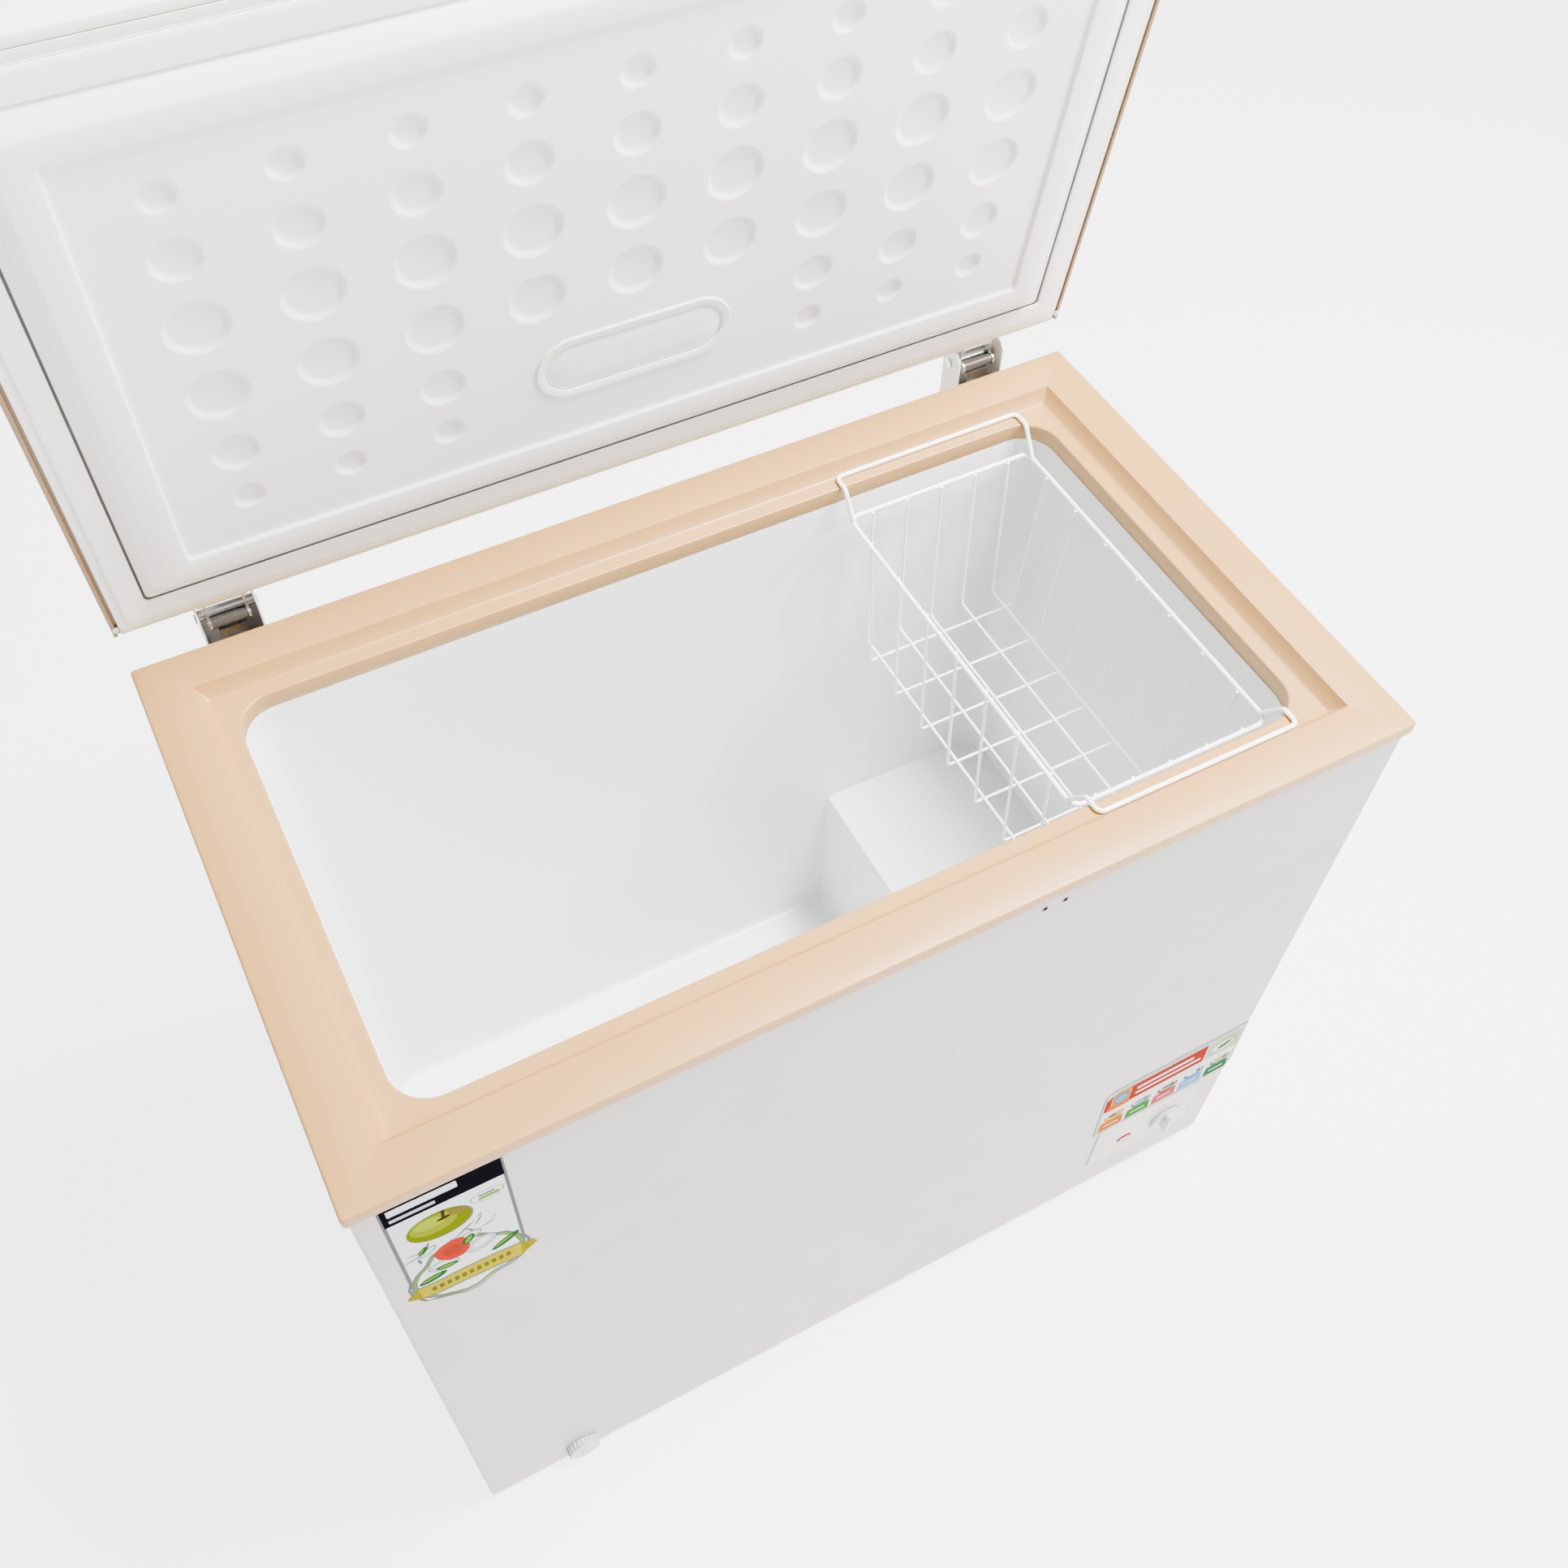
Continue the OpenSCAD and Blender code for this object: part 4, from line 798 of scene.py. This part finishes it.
def make_front_sticker():
    """The tall label under the collar, on a shield of film, with plain bars for its printed lines."""
    white = ink("film", (0.68, 0.69, 0.69))
    grey = ink("edge_grey", (0.11, 0.115, 0.115))
    black = ink("black", (0.004, 0.0035, 0.006))
    lime = ink("lime", (0.11, 0.14, 0.001))
    dark = ink("leaf", (0.014, 0.075, 0.018))
    red = ink("slice_red", (0.40, 0.02, 0.012))
    pale = ink("ice", (0.40, 0.43, 0.45))
    yellow = ink("ribbon", (0.37, 0.29, 0.0))
    gold = ink("ribbon_dark", (0.22, 0.175, 0.0))
    shine = ink("shine", (0.19, 0.235, 0.002))
    stem = ink("stem", (0.04, 0.02, 0.008))
    mid = ink("badge", (0.12, 0.22, 0.04))
    bright = ink("bright", (0.27, 0.32, 0.008))
    brown = ink("brown", (0.14, 0.11, 0.02))
    green = ink("leaf_light", (0.10, 0.24, 0.02))
    slate = ink("line_grey", (0.10, 0.115, 0.115))
    slice_core = ink("slice_core", (0.26, 0.03, 0.015))
    ribbon_mark = ink("ribbon_mark", (0.10, 0.09, 0.01))
    top = BODY_TOP - 0.6

    def shield(g):
        """The film's outline, drawn in by g: straight sides over a shield that swells below the ribbon."""
        return [(-450 + g, 656 + g), (-453 + g, 645), (-452 + g, 630), (-445 + g, 612), (-433 + g, 604 + g),
                (-421, 597 + g), (-412, 590.6 + g), (-402, 590.6 + g), (-393, 597 + g), (-385, 602.6 + g),
                (-372, 604.4 + g), (-362 - g, 612 + g), (-355 - g, 625), (-353.5 - g, 638),
                (-356.5 - g, 648 + g), (-356.5 - g, top), (-450 + g, top)]

    def shrink(pts, k):
        """An outline made smaller about the shield's middle."""
        x0, z0 = -405, 640
        return [(x0 + (x - x0) * k, z0 + (z - z0) * k) for x, z in pts]

    def raised(pts, d):
        return [(x, z + d) for x, z in pts]

    shapes = [(shield(0), grey), (shield(2.8), white)]
    shapes.append(([(-448.2, 769), (-358.3, 769), (-358.3, top), (-448.2, top)], black))
    # Plain bars in the header, then the small oval badge
    shapes.append((bar(-444, 784, -392, 794, 1), white))
    shapes.append((bar(-444, 774, -410, 778.5, 0.8), pale))
    shapes.append((disc(-374.4, 749.5, 13.4, 8.6), mid))
    shapes.append((disc(-374.4, 749.5, 12.4, 7.7), white))
    shapes.append(([(-383, 745), (-366, 745), (-364, 749.5), (-380, 749)], green))
    shapes.append((bar(-381, 750.4, -368, 753.4, 1.2), grey))
    # The shield's own edge: a grey line, a green band and a grey line round white
    crest = [(-450, 640), (-449, 655), (-443, 668), (-435, 676), (-428, 690), (-405, 700), (-388, 690),
             (-377, 677), (-369, 671), (-360, 656), (-357, 640)]
    foot = [(-362, 618), (-372, 608), (-385, 606), (-395, 600), (-403, 594.4), (-412, 594.4), (-422, 600),
            (-434, 608), (-444, 618)]
    shapes.append((crest + foot, grey))
    for size, color in ((0.96, mid), (0.91, grey), (0.89, white)):
        shapes.append((shrink(crest + foot, size), color))
    # Splashes and ice
    for x, z, a, b, t in ((-440, 697, 8, 0.9, 15), (-434, 703, 10, 0.9, -20), (-428, 707, 9, 1.2, 70),
                          (-398, 708, 12, 1.1, 40), (-386, 714, 8, 0.8, 62), (-380, 701, 7, 0.8, 20),
                          (-392, 700, 10, 1.0, 120), (-374, 709, 3, 0.8, 40), (-436, 689, 5, 1.2, 100),
                          (-384, 722, 3, 0.8, 45)):
        shapes.append((disc(x, z, a, b, t), slate))
    for x, z, a, b, t in ((-390, 672, 13, 10, 30), (-421, 664, 12, 8, -20), (-396, 694, 9, 6, 10),
                          (-428, 700, 8, 4, 40)):
        shapes.append((disc(x, z, a + 0.8, b + 0.8, t), slate))
        shapes.append((disc(x, z, a, b, t), pale))
        shapes.append((disc(x + 1, z + 1, a * 0.6, b * 0.5, t), white))
    # Leaves behind, then the apple, the slice and the small leaves in front
    for x, z, a, b, t in ((-432, 649, 12, 5.2, 14), (-372, 655, 14, 4.6, 32), (-431, 705, 6, 3, 60)):
        shapes.append((disc(x, z, a, b, t), dark))
        shapes.append((disc(x - 1, z + 0.8, a * 0.7, b * 0.35, t), green))
    shapes.append((disc(-412.5, 736.5, 25.5, 22.0, -8), grey))
    shapes.append((disc(-413.2, 737.2, 24.8, 21.2, -8), lime))
    shapes.append((disc(-417, 741, 18, 14.5, -8), shine))
    shapes.append((disc(-419, 745, 12, 8.5, -8), bright))
    shapes.append((disc(-397, 745, 8, 5, -30), brown))
    shapes.append((disc(-408.8, 744.5, 5.4, 2.4, 6), stem))
    shapes.append(([(-410.2, 744), (-408.0, 743.6), (-406.2, 757.4), (-408.8, 758.4)], stem))
    shapes.append(([(-426, 690), (-419, 697), (-409, 701.5), (-401, 698), (-397, 687), (-399, 673),
                    (-405, 666), (-415, 667), (-423, 676)], red))
    shapes.append((disc(-411, 683, 7.5, 8.5, 10), slice_core))
    for x, z, a, b, t in ((-397.6, 689, 8, 4.4, 62), (-419, 660, 9, 4.2, -14)):
        shapes.append((disc(x, z, a, b, t), dark))
        shapes.append((disc(x, z, a * 0.7, b * 0.5, t), green))
    # Ribbon with its two folded tips
    low = [(-444.5, 620.2), (-430, 618.0), (-412, 617.6), (-395, 616.6), (-378, 615.4), (-363, 613)]
    high = [(-361.4, 636), (-378, 638.4), (-395, 639.4), (-412, 639.4), (-430, 638.6), (-446, 640)]
    shapes.append((raised(low, -2.6) + raised(high, 2.2), slate))
    shapes.append(([(-456.6, 628), (-446, 620), (-438, 619.6), (-438, 639.6), (-446, 640)], gold))
    shapes.append(([(-348.6, 625.6), (-363, 613), (-369, 613.6), (-369, 637.4), (-361.4, 636),
                    (-352, 633)], gold))
    shapes.append((low + high, yellow))
    for i in range(11):
        x, drop = -436 + 6.1 * i, 0.12 * i
        shapes.append((bar(x, 624.6 - drop, x + 3.6, 632.4 - drop, 0.6), ribbon_mark))
    art("front_label", FILM, shapes, "cabinet", ["front_sticker"], "sticker_film")


def make_panel_marks():
    """Printed marks on the panel and the knob: a ring with ticks, the lens surround, a plain bar, a pointer."""
    knob_x, knob_z, ticks_r = 394.3, 109.8, 22.2
    lens_x, lens_z = 336.1, 110.6
    panel_face, knob_face = 1.62, 12.96
    grey = ink("mark", (0.10, 0.105, 0.105))
    shapes = []

    def ring(cx, cz, inner, outer, mat):
        """A flat ring in two halves."""
        for a in (-90, 90):
            turn = [radians(a + 10 * i) for i in range(19)]
            shapes.append(([(cx + outer[0] * cos(t), cz + outer[1] * sin(t)) for t in turn]
                           + [(cx + inner[0] * cos(t), cz + inner[1] * sin(t)) for t in turn[::-1]], mat))

    for i in range(9):
        a = radians(225 - 33.75 * i)
        end = ticks_r + (3.2 if i % 4 == 0 else 2.0)
        corners = ((ticks_r, -0.45), (end, -0.45), (end, 0.45), (ticks_r, 0.45))
        shapes.append(([(knob_x + cos(a) * q - sin(a) * p, knob_z + sin(a) * q + cos(a) * p)
                        for q, p in corners], grey))
    ring(knob_x, knob_z, (20.4, 20.4), (21.1, 21.1), grey)
    ring(lens_x, lens_z, (7.4, 2.9), (9.8, 5.6), ink("lens_surround", (0.30, 0.03, 0.008)))
    ring(lens_x, lens_z, (9.8, 5.6), (10.6, 6.6), ink("lens_edge", (0.05, 0.035, 0.03)))
    shapes.append((bar(324.5, 97.0, 347, 98.2, 0.3), grey))
    art("dial_marks", panel_face, shapes, "cabinet", [], "panel_white")
    pointer = bar(knob_x - 0.6, knob_z + 8, knob_x + 0.6, knob_z + 15, 0.3)
    art("knob_pointer", knob_face, [(pointer, ink("pointer", (0.10, 0.105, 0.105)))], "knob", [],
        "knob_white")


# Camera, floor and light -------------------------------------------------------------------------------


def make_stage():
    """A matt floor that glows evenly, a faint world and two soft lamps from the right."""
    bpy.ops.mesh.primitive_plane_add(size=30)
    floor = bpy.context.object
    floor.name = "floor"
    m = Look("floor_paper", (0.45, 0.45, 0.45), 0.9, spec=0.05)
    m.tint(m.noise(0.6, 2.0), (0.995, 0.995, 0.995))
    m.bsdf.inputs["Emission Color"].default_value = (1, 1, 1, 1)
    m.bsdf.inputs["Emission Strength"].default_value = 3.9
    floor.data.materials.append(m.mat)
    floor.location.z = -0.0005

    world = bpy.data.worlds.new("studio")
    bpy.context.scene.world = world
    world.use_nodes = True
    bg = world.node_tree.nodes["Background"]
    bg.inputs["Color"].default_value = (1, 1, 1, 1)
    bg.inputs["Strength"].default_value = 0.3

    def lamp(name, at, aim, size, power):
        data = bpy.data.lights.new(name, "AREA")
        data.shape = "DISK"
        data.size = size
        data.energy = power
        o = bpy.data.objects.new(name, data)
        bpy.context.scene.collection.objects.link(o)
        o.location = at
        o.rotation_euler = (Vector(aim) - Vector(at)).to_track_quat("-Z", "Y").to_euler()

    lamp("overhead", (1.1, -0.35, 3.3), (0.1, -0.1, 0.6), 1.1, 560)
    lamp("key", (2.4, -1.6, 2.8), (0, 0.2, 1.0), 0.8, 170)


def make_camera():
    """A camera above the left front corner, looking down into the tub."""
    place = (-415.49, -754.47, 1865.92)
    right = Vector((0.88281, -0.46926, 0.02115))
    up = Vector((0.3673, 0.7177, 0.5917))
    forward = Vector((0.29281, 0.51455, -0.80591))
    data = bpy.data.cameras.new("camera")
    data.sensor_fit = "HORIZONTAL"
    data.sensor_width = 36
    data.lens = 36.80
    data.clip_start, data.clip_end = 0.01, 100
    data.dof.use_dof = False
    o = bpy.data.objects.new("camera", data)
    bpy.context.scene.collection.objects.link(o)
    turn = Matrix((right, up, -forward)).transposed().to_4x4()
    o.matrix_world = Matrix.Translation(cab(place)) @ turn
    bpy.context.scene.camera = o


make_outer()
make_springs()
make_collar()
make_tub()
make_tub_marks()
make_basket()
make_lining()
make_gasket()
make_lid_rims()
make_lamp()
make_feature_sticker()
make_front_sticker()
make_panel_marks()
make_lock_holes()
make_stage()
make_camera()
